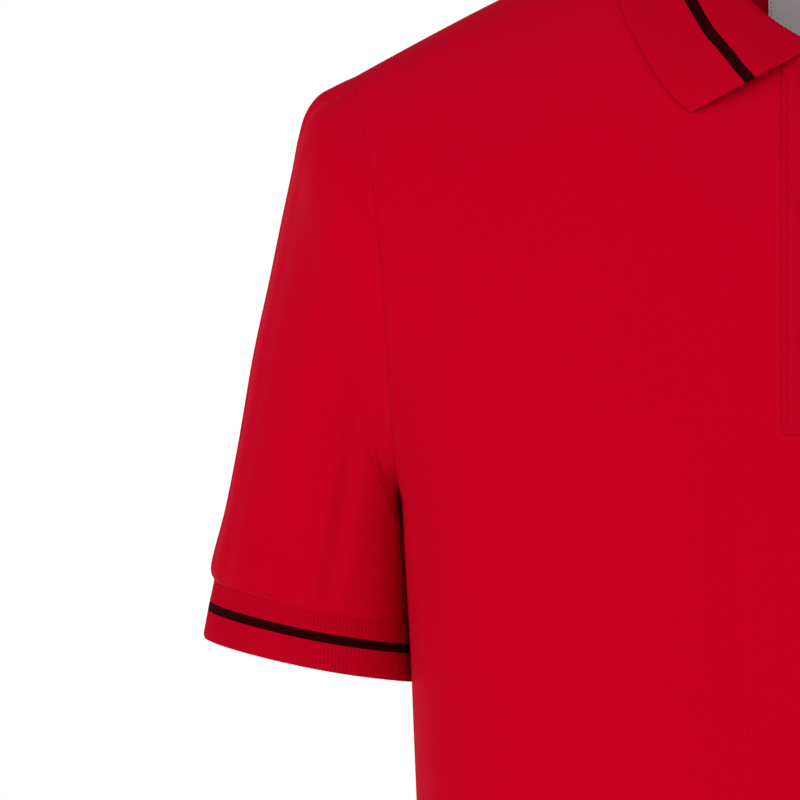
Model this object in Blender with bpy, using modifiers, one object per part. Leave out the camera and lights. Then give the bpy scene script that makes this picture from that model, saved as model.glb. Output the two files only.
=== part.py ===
"""Polo shirt, filled out as it is worn and hollow inside, with every sewn piece a solid of its own.

Metres, +Z up. The front faces -Y and the wearer's left side is at +X. The origin lies midway
between the two high shoulder points, where the shoulder seams meet the neck.
"""

import math
from typing import NamedTuple

import bpy
import bmesh
from mathutils import Matrix, Vector

# Cloth and seams
JERSEY = 0.0015
RIB = 0.0018
LABEL_CLOTH = 0.0010
SEAM_GAP = 0.0003
PANEL_SET_BACK = 0.0002
FRONT = -1
BACK = 1
HALF_PI = math.pi / 2

# Neck and shoulders
NECK_HALF = 0.076
NECK_CROWN = 0.010
FRONT_NECK_DROP = -0.0625
BACK_NECK_DROP = -0.003
NECK_POWER = 2.3
UNDERARM = -0.262
ROUNDNESS = 2.3
ARMPIT_SQUARENESS = 14
ARMPIT_END = -0.42


class ShoulderPoint(NamedTuple):
    """The ridge that the shoulder seam follows."""

    across: float
    height: float


SHOULDER_RIDGE = (
    ShoulderPoint(across=NECK_HALF, height=0.0),
    ShoulderPoint(across=0.1000, height=-0.0090),
    ShoulderPoint(across=0.1450, height=-0.0304),
    ShoulderPoint(across=0.1817, height=-0.0492),
    ShoulderPoint(across=0.2120, height=-0.0655),
)


class BodySection(NamedTuple):
    """One level ring of the body below the arms."""

    height: float
    half_width: float
    front_depth: float
    back_depth: float


BODY_SECTIONS = (
    BodySection(UNDERARM, half_width=0.1900, front_depth=0.118, back_depth=0.112),
    BodySection(-0.300, half_width=0.1880, front_depth=0.118, back_depth=0.110),
    BodySection(-0.345, half_width=0.1855, front_depth=0.117, back_depth=0.107),
    BodySection(-0.396, half_width=0.1830, front_depth=0.115, back_depth=0.104),
    BodySection(-0.450, half_width=0.1815, front_depth=0.113, back_depth=0.102),
    BodySection(-0.515, half_width=0.1820, front_depth=0.112, back_depth=0.103),
    BodySection(-0.580, half_width=0.1840, front_depth=0.112, back_depth=0.107),
    BodySection(-0.645, half_width=0.1865, front_depth=0.113, back_depth=0.109),
    BodySection(-0.700, half_width=0.1880, front_depth=0.114, back_depth=0.109),
)


class DrapeFold(NamedTuple):
    """A soft hanging fold: its place round the half ring, its width and its depth at the hem."""

    degrees: float
    spread: float
    depth: float


FOLDS_START = -0.36
FRONT_FOLDS = (
    DrapeFold(degrees=62, spread=9, depth=-0.0025),
    DrapeFold(degrees=40, spread=9, depth=0.0035),
    DrapeFold(degrees=22, spread=7, depth=-0.0025),
)
BACK_FOLDS = (
    DrapeFold(degrees=72, spread=9, depth=0.0035),
    DrapeFold(degrees=52, spread=9, depth=-0.0040),
    DrapeFold(degrees=30, spread=8, depth=0.0040),
)


class ArmholePoint(NamedTuple):
    """Where the armhole's edge lies, from the underarm (rise 0) to the shoulder (rise 1)."""

    rise: float
    across: float


ARMHOLE_EDGE = (
    ArmholePoint(rise=0.00, across=0.1900),
    ArmholePoint(rise=0.25, across=0.1925),
    ArmholePoint(rise=0.50, across=0.1955),
    ArmholePoint(rise=0.75, across=0.2015),
    ArmholePoint(rise=1.00, across=0.2120),
)
ARMHOLE_DEPTH_SHARE = 0.60
ARMHOLE_CUT = (1 - ARMHOLE_DEPTH_SHARE ** ROUNDNESS) ** (1 / ROUNDNESS)

# Columns of a panel's half, from the centre line out, at the shoulder and round the chest
SLOT_HALF = 0.0125
NECK_COLUMNS = (0.030, 0.046, 0.060, 0.070, NECK_HALF)
SHOULDER_COLUMNS = (0.094, 0.117, 0.141, 0.164, 0.184, 0.200, 0.212)
RING_SHARES = (0.30, 0.42, 0.53, 0.63, 0.72, 0.80, 0.865, 0.915, 0.952, 0.978, 0.994, 1.0)

# Placket and buttons
BAND_HALF = 0.0148
PLACKET_BOTTOM = -0.2335
UNDER_BAND_TOP = 0.985
BUTTON_RADIUS = 0.00575
BUTTON_THICKNESS = 0.0024
BUTTON_RIM = 0.0012
BUTTON_DISH = 0.0006
BUTTON_HEIGHTS = (-0.0772, -0.1345, -0.1920)
BUTTON_SEGMENTS = 24

# Neck label
LABEL_HALF = 0.0219
LABEL_CLIMBS = (0.74, 0.87, 0.96)


class SleeveRing(NamedTuple):
    """One ring of the left sleeve: its outer and inner ends and its half depth, front to back."""

    outer_x: float
    outer_z: float
    inner_x: float
    inner_z: float
    half_depth: float
    centre_y: float
    front_dip: float


SLEEVE_RINGS = (
    SleeveRing(0.2120, -0.0655, 0.1900, -0.2620, 0.0605, 0.000, 0.000),
    SleeveRing(0.2212, -0.0693, 0.1908, -0.2655, 0.0612, 0.003, 0.000),
    SleeveRing(0.2292, -0.0735, 0.1905, -0.2700, 0.0615, 0.007, 0.003),
    SleeveRing(0.2352, -0.0815, 0.1902, -0.2745, 0.0615, 0.011, 0.006),
    SleeveRing(0.2386, -0.0930, 0.1899, -0.2790, 0.0612, 0.014, 0.010),
    SleeveRing(0.2420, -0.1100, 0.1896, -0.2835, 0.0606, 0.017, 0.016),
    SleeveRing(0.2500, -0.1450, 0.1892, -0.2900, 0.0595, 0.020, 0.024),
    SleeveRing(0.2597, -0.1910, 0.1888, -0.2975, 0.0585, 0.022, 0.033),
    SleeveRing(0.2683, -0.2370, 0.1884, -0.3045, 0.0575, 0.023, 0.042),
    SleeveRing(0.2739, -0.2640, 0.1879, -0.3090, 0.0572, 0.024, 0.047),
    SleeveRing(0.2799, -0.2890, 0.1875, -0.3125, 0.0576, 0.024, 0.050),
    SleeveRing(0.2785, -0.2970, 0.1877, -0.3170, 0.0560, 0.024, 0.050),
)
CUFF_RINGS = (
    SleeveRing(0.27857, -0.29731, 0.18763, -0.31731, 0.0560, 0.024, 0.050),
    SleeveRing(0.2803, -0.3070, 0.1871, -0.3265, 0.0562, 0.024, 0.050),
    SleeveRing(0.2834, -0.3232, 0.1859, -0.3436, 0.0567, 0.024, 0.050),
)
ARMHOLE_BLEND_RINGS = 5

# Collar
COLLAR_STAND_END = 0.0042
COLLAR_STAND_QUICK = 0.0140
COLLAR_STAND_REACH = 0.030
COLLAR_STAND_SLOPE = 0.055
COLLAR_LEAN = 0.65
COLLAR_ROLL = 0.0030
COLLAR_LIFT = 0.0045
COLLAR_EDGE_CLEAR = 0.0016
COLLAR_END_GAP = 0.0006
COLLAR_FOOT_RAISE = 0.0011
COLLAR_STATION = 0.011
NECK_AXIS_Y = -0.012
STAND_STEPS = 2
ROLL_STEPS = 4
FALL_STEPS = 6


class CollarEdge(NamedTuple):
    """The fall's outer edge: share of its length from the point, and its place over the shoulder."""

    share: float
    across: float
    degrees: float


COLLAR_EDGE = (
    CollarEdge(share=0.000, across=0.0550, degrees=49.9),
    CollarEdge(share=0.041, across=0.0626, degrees=47.6),
    CollarEdge(share=0.080, across=0.0684, degrees=45.1),
    CollarEdge(share=0.128, across=0.0740, degrees=41.8),
    CollarEdge(share=0.192, across=0.0808, degrees=36.8),
    CollarEdge(share=0.235, across=0.0850, degrees=33.1),
    CollarEdge(share=0.273, across=0.0875, degrees=29.6),
    CollarEdge(share=0.507, across=0.0975, degrees=0.0),
    CollarEdge(share=0.600, across=0.0925, degrees=-13.0),
    CollarEdge(share=0.700, across=0.0770, degrees=-21.5),
    CollarEdge(share=0.800, across=0.0535, degrees=-25.5),
    CollarEdge(share=1.000, across=0.0000, degrees=-27.5),
)


# Values read from a table

def table_value(table, key, column, at):
    """Read a column at a key between its rows, on a smooth curve through them."""
    keys = [getattr(row, key) for row in table]
    values = [getattr(row, column) for row in table]
    if keys[0] > keys[-1]:
        keys.reverse()
        values.reverse()
    at = min(max(at, keys[0]), keys[-1])
    last = len(keys) - 1
    cell = max(i for i in range(last) if keys[i] <= at)
    slopes = []
    for i in (cell, cell + 1):
        low = max(i - 1, 0)
        high = min(i + 1, last)
        slopes.append((values[high] - values[low]) / (keys[high] - keys[low]))
    span = keys[cell + 1] - keys[cell]
    t = (at - keys[cell]) / span
    start = values[cell] * (1 + 2 * t) * (1 - t) ** 2 + slopes[0] * span * t * (1 - t) ** 2
    end = values[cell + 1] * t * t * (3 - 2 * t) + slopes[1] * span * t * t * (t - 1)
    return start + end


def mix(low, high, t):
    return low + (high - low) * t


# The torso's surface

def shoulder_height(across):
    """Height of the shoulder ridge, carried on over the neck as a low crown."""
    if across <= NECK_HALF:
        return NECK_CROWN * (1 - (across / NECK_HALF) ** 2)
    return table_value(SHOULDER_RIDGE, "across", "height", across)


def neckline_height(across, side):
    drop = FRONT_NECK_DROP if side == FRONT else BACK_NECK_DROP
    return drop * (1 - (across / NECK_HALF) ** NECK_POWER)


def ridge_angle(across, height):
    """Angle over the shoulder, 0 on the ridge and a quarter turn at the underarm's level."""
    top = shoulder_height(across)
    return math.acos(min(1.0, 1 - (top - height) / (top - UNDERARM)))


def top_angle(across, side):
    if across >= NECK_HALF:
        return 0.0
    return ridge_angle(across, neckline_height(across, side))


def armhole_across(climb):
    rise = math.sin(HALF_PI * climb)
    return table_value(ARMHOLE_EDGE, "rise", "across", rise)


def row_fill(across, climb):
    """Share of the full depth at a place across a row, which the armhole's edge ends."""
    drop = 1 - math.sin(HALF_PI * climb)
    edge = armhole_across(climb)
    whole = (1 - (across * ARMHOLE_CUT / edge) ** ROUNDNESS) ** (1 / ROUNDNESS)
    return whole * math.sqrt(max(0.0, 1 - drop ** 4 * (across / edge) ** ARMPIT_SQUARENESS))


def ring_fill(share, height):
    """Share of the full depth round a level ring, squarer under the arms than at the waist."""
    plain = max(0.0, 1 - share ** ROUNDNESS) ** (1 / ROUNDNESS)
    armpit = (1 - (share * ARMHOLE_CUT) ** ROUNDNESS) ** (1 / ROUNDNESS)
    armpit *= math.sqrt(max(0.0, 1 - share ** ARMPIT_SQUARENESS))
    t = min(1.0, (UNDERARM - height) / (UNDERARM - ARMPIT_END))
    return mix(armpit, plain, t * t * (3 - 2 * t))


def chest_depth(side):
    section = BODY_SECTIONS[0]
    return section.front_depth if side == FRONT else section.back_depth


def shoulder_point(side, across, angle, climb):
    """Point of the upper torso at an angle over the shoulder ridge."""
    x = abs(across)
    top = shoulder_height(x)
    height = top - (1 - math.cos(angle)) * (top - UNDERARM)
    depth = chest_depth(side) * math.sin(angle) * row_fill(x, climb)
    return Vector((across, side * (depth + PANEL_SET_BACK), height))


def panel_point(side, across, climb):
    """Point of the upper torso: climb 0 at the underarm's level, 1 at the neckline or shoulder."""
    end = top_angle(abs(across), side)
    angle = HALF_PI - (HALF_PI - end) * climb
    return shoulder_point(side, across, angle, climb)


def panel_normal(side, across, climb):
    """Outward direction of the upper torso's surface."""
    step = 0.0005
    near = max(climb - 0.01, 0.0)
    far = min(climb + 0.01, 1.0)
    sideways = panel_point(side, across + step, climb) - panel_point(side, across - step, climb)
    upward = panel_point(side, across, far) - panel_point(side, across, near)
    normal = sideways.cross(upward).normalized()
    return normal if normal.y * side > 0 else -normal


def climb_at(side, height):
    """Climb of a height on the centre line."""
    return (HALF_PI - ridge_angle(0.0, height)) / (HALF_PI - top_angle(0.0, side))


def fold_depth(side, degrees, height):
    """How far the soft folds of the lower body push the cloth out."""
    if height >= FOLDS_START:
        return 0.0
    share = (FOLDS_START - height) / (FOLDS_START - BODY_SECTIONS[-1].height)
    folds = FRONT_FOLDS if side == FRONT else BACK_FOLDS
    push = sum(f.depth * math.exp(-((degrees - f.degrees) / f.spread) ** 2) for f in folds)
    return push * math.sin(HALF_PI * share)


def ring_point(side, share, height):
    """Point of the lower body at a share of the half width, from the centre line out."""
    half = table_value(BODY_SECTIONS, "height", "half_width", height)
    column = "front_depth" if side == FRONT else "back_depth"
    depth = table_value(BODY_SECTIONS, "height", column, height)
    degrees = math.degrees(math.acos(share))
    out = (depth + fold_depth(side, degrees, height)) * ring_fill(share, height)
    return Vector((half * share, side * (out + PANEL_SET_BACK), height))


# Rows and columns shared by the panels and all that lies on them

PLACKET_CLIMB = climb_at(FRONT, PLACKET_BOTTOM)
CLIMBS = (0.0, 0.008, 0.028, 0.062, PLACKET_CLIMB, 0.19, 0.28, 0.38, 0.49, 0.61, 0.74, 0.87, 0.975, 1.0)
SLOT_ROW = 5


def half_columns(climb):
    """Places across one half of a panel's row above the underarm."""
    low = [0.0, SLOT_HALF] + [BODY_SECTIONS[0].half_width * share for share in RING_SHARES]
    high = [0.0, SLOT_HALF] + list(NECK_COLUMNS) + list(SHOULDER_COLUMNS)
    edge = mix(low[-1], high[-1], climb)
    pull = armhole_across(climb) - edge
    columns = []
    for inner, outer in zip(low, high):
        across = mix(inner, outer, climb)
        columns.append(across + pull * (across / edge) ** 3)
    return columns


def panel_half(side):
    """Rows of points of a panel's left half, from the hem up, each from the centre line out."""
    rows = []
    for section in reversed(BODY_SECTIONS[1:]):
        shares = (0.0, SLOT_HALF / section.half_width) + RING_SHARES
        rows.append([ring_point(side, share, section.height) for share in shares])
    for climb in CLIMBS:
        rows.append([panel_point(side, across, climb) for across in half_columns(climb)])
    return rows


def panel_rows(side):
    """Rows of a whole panel, from the wearer's right edge to the left one."""
    rows = []
    for half in panel_half(side):
        mirrored = [Vector((-point.x, point.y, point.z)) for point in reversed(half[1:])]
        rows.append(mirrored + half)
    return rows


# Meshes from rows of points

def clear_scene():
    for item in list(bpy.data.objects):
        bpy.data.objects.remove(item, do_unlink=True)


def srgb(hex_code):
    """Linear colour of an sRGB hex code."""
    linear = []
    for start in (0, 2, 4):
        value = int(hex_code[start:start + 2], 16) / 255
        linear.append(value / 12.92 if value <= 0.04045 else ((value + 0.055) / 1.055) ** 2.4)
    return (*linear, 1.0)


def make_material(name, hex_code, roughness, metallic=0.0):
    material = bpy.data.materials.new(name)
    material.use_nodes = True
    shader = material.node_tree.nodes["Principled BSDF"]
    shader.inputs["Base Color"].default_value = srgb(hex_code)
    shader.inputs["Roughness"].default_value = roughness
    shader.inputs["Metallic"].default_value = metallic
    return material


def add_object(name, mesh, material, collection):
    item = bpy.data.objects.new(name, mesh)
    mesh.materials.append(material)
    collection.objects.link(item)
    return item


def sheet_mesh(name, rows, around=False, flip=False, skip=()):
    """Open surface through rows of points; around joins each row's ends; skip leaves cells out."""
    mesh = bpy.data.meshes.new(name)
    work = bmesh.new()
    grid = [[work.verts.new(point) for point in row] for row in rows]
    columns = len(rows[0])
    spans = columns if around else columns - 1
    for j in range(len(rows) - 1):
        for i in range(spans):
            if (j, i) in skip:
                continue
            k = (i + 1) % columns
            corners = [grid[j][i], grid[j][k], grid[j + 1][k], grid[j + 1][i]]
            if flip:
                corners.reverse()
            work.faces.new(corners)
    loose = [vert for vert in work.verts if not vert.link_faces]
    bmesh.ops.delete(work, geom=loose, context="VERTS")
    work.to_mesh(mesh)
    work.free()
    mesh.shade_smooth()
    return mesh


def add_wall(item, thickness):
    """Give an open surface its cloth, on the inner side of its faces."""
    wall = item.modifiers.new("Wall", "SOLIDIFY")
    wall.thickness = thickness
    wall.offset = -1.0
    wall.use_rim = True


# Body panels

def make_front(material, collection):
    rows = panel_rows(FRONT)
    centre = len(rows[0]) // 2
    first_slot_row = len(BODY_SECTIONS) - 1 + SLOT_ROW
    slot = {(j, i) for j in range(first_slot_row, len(rows) - 1) for i in (centre - 1, centre)}
    mesh = sheet_mesh("front_body", rows, skip=slot)
    add_wall(add_object("front_body", mesh, material, collection), JERSEY)


def make_back(material, collection):
    mesh = sheet_mesh("back_body", panel_rows(BACK), flip=True)
    add_wall(add_object("back_body", mesh, material, collection), JERSEY)


# Sleeves and cuffs

def armhole_loop():
    """Points of the left armhole from the shoulder down the front and up the back."""
    front = [panel_point(FRONT, armhole_across(climb), climb) for climb in reversed(CLIMBS)]
    back = [panel_point(BACK, armhole_across(climb), climb) for climb in CLIMBS]
    loop = front + back[1:-1]
    for point in (loop[0], loop[len(CLIMBS) - 1]):
        point.y = 0.0
    return [point + Vector((SEAM_GAP, 0, 0)) for point in loop]


def loop_angles(loop):
    """Angle of each armhole point round the sleeve, by its share of the loop's length."""
    half = len(CLIMBS) - 1
    closed = loop + [loop[0]]
    angles = []
    for first, last, start in ((0, half, 0.0), (half, len(loop), math.pi)):
        lengths = [(closed[i + 1] - closed[i]).length for i in range(first, last)]
        total = sum(lengths)
        angles += [start + math.pi * sum(lengths[:i]) / total for i in range(last - first)]
    return angles


def sleeve_ring_points(ring, angles):
    outer = Vector((ring.outer_x, ring.centre_y, ring.outer_z))
    inner = Vector((ring.inner_x, ring.centre_y, ring.inner_z))
    centre = (outer + inner) / 2
    reach = (outer - inner) / 2
    depth = Vector((0, ring.half_depth, ring.half_depth * ring.front_dip))
    return [centre + reach * math.cos(angle) - depth * math.sin(angle) for angle in angles]


def sleeve_rows():
    loop = armhole_loop()
    angles = loop_angles(loop)
    rows = []
    first = sleeve_ring_points(SLEEVE_RINGS[0], angles)
    for index, ring in enumerate(SLEEVE_RINGS):
        pull = max(0.0, 1 - index / ARMHOLE_BLEND_RINGS) ** 2
        points = sleeve_ring_points(ring, angles)
        rows.append([p + (edge - base) * pull for p, edge, base in zip(points, loop, first)])
    cuff = [sleeve_ring_points(ring, angles) for ring in CUFF_RINGS]
    return rows, cuff


def mirrored_rows(rows):
    return [[Vector((-point.x, point.y, point.z)) for point in row] for row in rows]


def make_sleeves(jersey, rib, collection):
    sleeve, cuff = sleeve_rows()
    pieces = (
        ("sleeve_left", sleeve, jersey, JERSEY),
        ("cuff_left", cuff, rib, RIB),
    )
    for name, rows, material, thickness in pieces:
        mesh = sheet_mesh(name, rows, around=True)
        add_wall(add_object(name, mesh, material, collection), thickness)
        other = name.replace("left", "right")
        mesh = sheet_mesh(other, mirrored_rows(rows), around=True, flip=True)
        add_wall(add_object(other, mesh, material, collection), thickness)


# Collar

def neck_seam():
    """Left half of the neck seam, from the centre front to the centre back."""
    places = [0.0, SLOT_HALF] + list(NECK_COLUMNS)
    front = [panel_point(FRONT, across, 1.0) for across in places]
    back = [panel_point(BACK, across, 1.0) for across in reversed(places[:-1])]
    front[-1].y = 0.0
    front[0].x = COLLAR_END_GAP
    return front + back


def edge_point(share, moved_out):
    """Point of the fall's outer edge, held off the shoulder."""
    across = table_value(COLLAR_EDGE, "share", "across", share)
    degrees = table_value(COLLAR_EDGE, "share", "degrees", share)
    angle = math.radians(abs(degrees))
    side = FRONT if degrees > 0 else BACK
    climb = 1 - angle / HALF_PI
    point = shoulder_point(side, across, angle, climb)
    normal = Vector((0.45 * across / NECK_HALF, side * math.sin(angle) * 1.6, math.cos(angle)))
    return point + normal.normalized() * moved_out


def collar_section(seam, share, arc):
    """Points across the collar: up the stand by the neck, over the roll and down the fall."""
    inward = Vector((-seam.x, NECK_AXIS_Y - seam.y, 0)).normalized()
    rise = (Vector((0, 0, 1)) + inward * COLLAR_LEAN).normalized()
    out = (Vector((0, 0, COLLAR_LEAN)) - inward).normalized()
    quick_rise = COLLAR_STAND_QUICK * (1 - math.exp(-arc / COLLAR_STAND_REACH))
    height = COLLAR_STAND_END + quick_rise + COLLAR_STAND_SLOPE * arc
    foot = seam - out * (SEAM_GAP + RIB) + rise * COLLAR_FOOT_RAISE
    section = [foot + rise * (height - COLLAR_ROLL) * i / STAND_STEPS for i in range(STAND_STEPS + 1)]
    centre = section[-1] + out * COLLAR_ROLL
    edge = edge_point(share, COLLAR_EDGE_CLEAR + RIB)
    reach = edge - centre
    fall_slope = math.atan2(-reach.dot(rise), reach.dot(out))
    turn_end = HALF_PI - min(max(fall_slope, math.radians(15)), math.radians(80))
    for i in range(1, ROLL_STEPS + 1):
        angle = mix(math.pi, turn_end, i / ROLL_STEPS)
        section.append(centre + (out * math.cos(angle) + rise * math.sin(angle)) * COLLAR_ROLL)
    start = section[-1]
    lift_way = (out * math.cos(turn_end) + rise * math.sin(turn_end)).normalized()
    for i in range(1, FALL_STEPS + 1):
        t = i / FALL_STEPS
        lift = COLLAR_LIFT * 4 * t * (1 - t)
        section.append(start.lerp(edge, t) + lift_way * lift)
    return section


def make_collar(material, collection):
    seam = neck_seam()
    lengths = [(seam[i + 1] - seam[i]).length for i in range(len(seam) - 1)]
    total = sum(lengths)
    left = [collar_section(seam[0], 0.0, 0.0)]
    arc = 0.0
    for start, end, length in zip(seam, seam[1:], lengths):
        pieces = math.ceil(length / COLLAR_STATION)
        for piece in range(1, pieces + 1):
            arc += length / pieces
            left.append(collar_section(start.lerp(end, piece / pieces), arc / total, arc))
    right = mirrored_rows(reversed(left[:-1]))
    mesh = sheet_mesh("collar", left + right)
    add_wall(add_object("collar", mesh, material, collection), RIB)


# Placket, label and buttons

def lying_rows(side, climbs, half_width, moved_out):
    """Rows of a strip that lies on a panel, made from the panel's own points moved out."""
    places = [half_width * share for share in (-1, -0.5, 0, 0.5, 1)]
    rows = []
    for climb in climbs:
        row = []
        for across in places:
            normal = panel_normal(side, across, climb)
            row.append(panel_point(side, across, climb) + normal * moved_out)
        rows.append(row)
    return rows


def make_placket(material, collection):
    climbs = CLIMBS[SLOT_ROW - 1:]
    rows = lying_rows(FRONT, climbs, BAND_HALF, SEAM_GAP + JERSEY)
    mesh = sheet_mesh("placket_top", rows)
    add_wall(add_object("placket_top", mesh, material, collection), JERSEY)
    climbs = CLIMBS[SLOT_ROW - 1:-2] + (UNDER_BAND_TOP,)
    rows = lying_rows(FRONT, climbs, BAND_HALF, -(SEAM_GAP + JERSEY))
    mesh = sheet_mesh("placket_under", rows)
    add_wall(add_object("placket_under", mesh, material, collection), JERSEY)


def make_label(material, collection):
    rows = lying_rows(BACK, LABEL_CLIMBS, LABEL_HALF, -(2 * SEAM_GAP + JERSEY))
    mesh = sheet_mesh("neck_label", rows, flip=True)
    add_wall(add_object("neck_label", mesh, material, collection), LABEL_CLOTH)


def make_buttons(material, collection):
    """Turned buttons with a raised rim round a shallow dish, on the centre line."""
    half = BUTTON_THICKNESS / 2
    rim_inside = BUTTON_RADIUS - BUTTON_RIM
    profile = (
        (0.0, half - BUTTON_DISH),
        (rim_inside - BUTTON_DISH, half - BUTTON_DISH),
        (rim_inside, half),
        (BUTTON_RADIUS - BUTTON_DISH, half),
        (BUTTON_RADIUS, half - BUTTON_DISH),
        (BUTTON_RADIUS, -half + BUTTON_DISH),
        (BUTTON_RADIUS - BUTTON_DISH, -half),
        (0.0, -half),
    )
    for number, height in enumerate(BUTTON_HEIGHTS, start=1):
        name = f"button_{number}"
        mesh = bpy.data.meshes.new(name)
        edges = [(i, i + 1) for i in range(len(profile) - 1)]
        mesh.from_pydata([(radius, 0, level) for radius, level in profile], edges, [])
        item = add_object(name, mesh, material, collection)
        turn = item.modifiers.new("Turn", "SCREW")
        turn.angle = 2 * math.pi
        turn.steps = BUTTON_SEGMENTS
        turn.render_steps = BUTTON_SEGMENTS
        turn.use_merge_vertices = True
        turn.merge_threshold = 0.00001
        climb = climb_at(FRONT, height)
        normal = panel_normal(FRONT, 0.0, climb)
        lift = 2 * SEAM_GAP + JERSEY + half
        centre = panel_point(FRONT, 0.0, climb) + normal * lift
        turned = normal.to_track_quat("Z", "Y").to_matrix().to_4x4()
        item.matrix_world = Matrix.Translation(centre) @ turned


def main():
    clear_scene()
    collection = bpy.data.collections.new("polo_shirt")
    bpy.context.scene.collection.children.link(collection)
    front_cloth = make_material("front_pique", "c90225", 0.85)
    back_cloth = make_material("back_pique", "c90225", 0.85)
    sleeve_cloth = make_material("sleeve_pique", "c70324", 0.85)
    cuff_rib = make_material("cuff_rib", "b60420", 0.88)
    collar_rib = make_material("collar_rib", "b90420", 0.88)
    placket_cloth = make_material("placket_pique", "c20322", 0.85)
    label_satin = make_material("label_satin", "a19fa6", 0.55)
    button_resin = make_material("button_resin", "a8041f", 0.35)
    make_front(front_cloth, collection)
    make_back(back_cloth, collection)
    make_sleeves(sleeve_cloth, cuff_rib, collection)
    make_collar(collar_rib, collection)
    make_placket(placket_cloth, collection)
    make_label(label_satin, collection)
    make_buttons(button_resin, collection)


main()
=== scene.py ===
"""Red polo shirt, filled out as it is worn and hollow: cloth, rib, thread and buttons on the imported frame.

Metres, +Z up, the front towards -Y and the wearer's left side at +X, as in the frame.
"""

import math
from typing import NamedTuple

import bmesh
import bpy
import numpy as np
from mathutils import Matrix, Vector, noise


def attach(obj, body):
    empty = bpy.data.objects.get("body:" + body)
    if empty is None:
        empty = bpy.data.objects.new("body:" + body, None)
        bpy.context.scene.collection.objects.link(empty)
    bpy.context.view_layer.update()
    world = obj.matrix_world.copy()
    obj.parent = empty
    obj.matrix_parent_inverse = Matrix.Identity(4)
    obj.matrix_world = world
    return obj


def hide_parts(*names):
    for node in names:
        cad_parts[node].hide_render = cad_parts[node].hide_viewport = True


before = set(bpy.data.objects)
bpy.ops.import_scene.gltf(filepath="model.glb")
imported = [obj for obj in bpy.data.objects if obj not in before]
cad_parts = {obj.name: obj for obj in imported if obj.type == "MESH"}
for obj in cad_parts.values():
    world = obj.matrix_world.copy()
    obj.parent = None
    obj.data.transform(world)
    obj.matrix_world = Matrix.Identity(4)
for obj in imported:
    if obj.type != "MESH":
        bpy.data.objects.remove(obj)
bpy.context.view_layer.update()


# Camera
# An almost level view from the front, three metres off. The right sleeve, the right half of the chest and
# the collar's right leaf fill the picture, and the placket runs down its right edge.

PICTURE_PIXELS = 800
METRES_PER_PIXEL = 0.00046
CENTRE_LINE_PIXEL = 815
ORIGIN_PIXELS_ABOVE = 66
CAMERA_DISTANCE = 3.0
CAMERA_HEIGHT = -0.30
SENSOR_MM = 36.0


def aimed(name, data, place, target):
    """A camera or lamp at its place, pointed at its target."""
    holder = bpy.data.objects.new(name, data)
    holder.location = place
    holder.rotation_euler = (Vector(target) - Vector(place)).to_track_quat("-Z", "Y").to_euler()
    bpy.context.scene.collection.objects.link(holder)
    return holder


middle = PICTURE_PIXELS / 2
camera_target = Vector((
    (middle - CENTRE_LINE_PIXEL) * METRES_PER_PIXEL,
    0.0,
    -(middle + ORIGIN_PIXELS_ABOVE) * METRES_PER_PIXEL,
))
camera_place = Vector((0.0, -CAMERA_DISTANCE, CAMERA_HEIGHT))
camera_reach = (camera_target - camera_place).length
camera_data = bpy.data.cameras.new("picture_camera")
camera_data.sensor_width = SENSOR_MM
camera_data.lens = SENSOR_MM * camera_reach / (PICTURE_PIXELS * METRES_PER_PIXEL)
camera_data.clip_end = 50.0
bpy.context.scene.camera = aimed("picture_camera", camera_data, camera_place, camera_target)


# Front panel
# One piece of cotton pique, knitted in a fine raised diamond and cut to the neckline, the shoulders
# and the armholes, with a slot for the placket. It is sewn to the back at the shoulders and the sides.

FRONT = -1
BACK = 1
HALF_PI = math.pi / 2
SEAM_GAP = 0.0003
PANEL_SET_BACK = 0.00001
PIQUE_THICKNESS = 0.0011
CAD_CLOTH = 0.0015

NECK_HALF = 0.076
NECK_CROWN = 0.010
FRONT_NECK_DROP = -0.0625
BACK_NECK_DROP = -0.003
NECK_POWER = 2.3
UNDERARM = -0.262
HEM = -0.700
ROUNDNESS = 2.3
ARMPIT_SQUARENESS = 14
ARMPIT_END = -0.42
ARMHOLE_DEPTH_SHARE = 0.60
ARMHOLE_CUT = (1 - ARMHOLE_DEPTH_SHARE ** ROUNDNESS) ** (1 / ROUNDNESS)


class ShoulderPoint(NamedTuple):
    """The ridge that the shoulder seam follows."""

    across: float
    height: float


class BodySection(NamedTuple):
    """One level ring of the body below the arms."""

    height: float
    half_width: float
    front_depth: float
    back_depth: float


class ArmholePoint(NamedTuple):
    """Where the armhole's edge lies, from the underarm (rise 0) to the shoulder (rise 1)."""

    rise: float
    across: float


class DrapeFold(NamedTuple):
    """A soft hanging fold: its place round the half ring, its width and its depth at the hem."""

    degrees: float
    spread: float
    depth: float


class Crease(NamedTuple):
    """A soft trough (depth below 0) or ridge: its two ends on the panel, its width, depth and bow."""

    from_across: float
    from_up: float
    to_across: float
    to_up: float
    width: float
    depth: float
    bow: float


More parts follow.
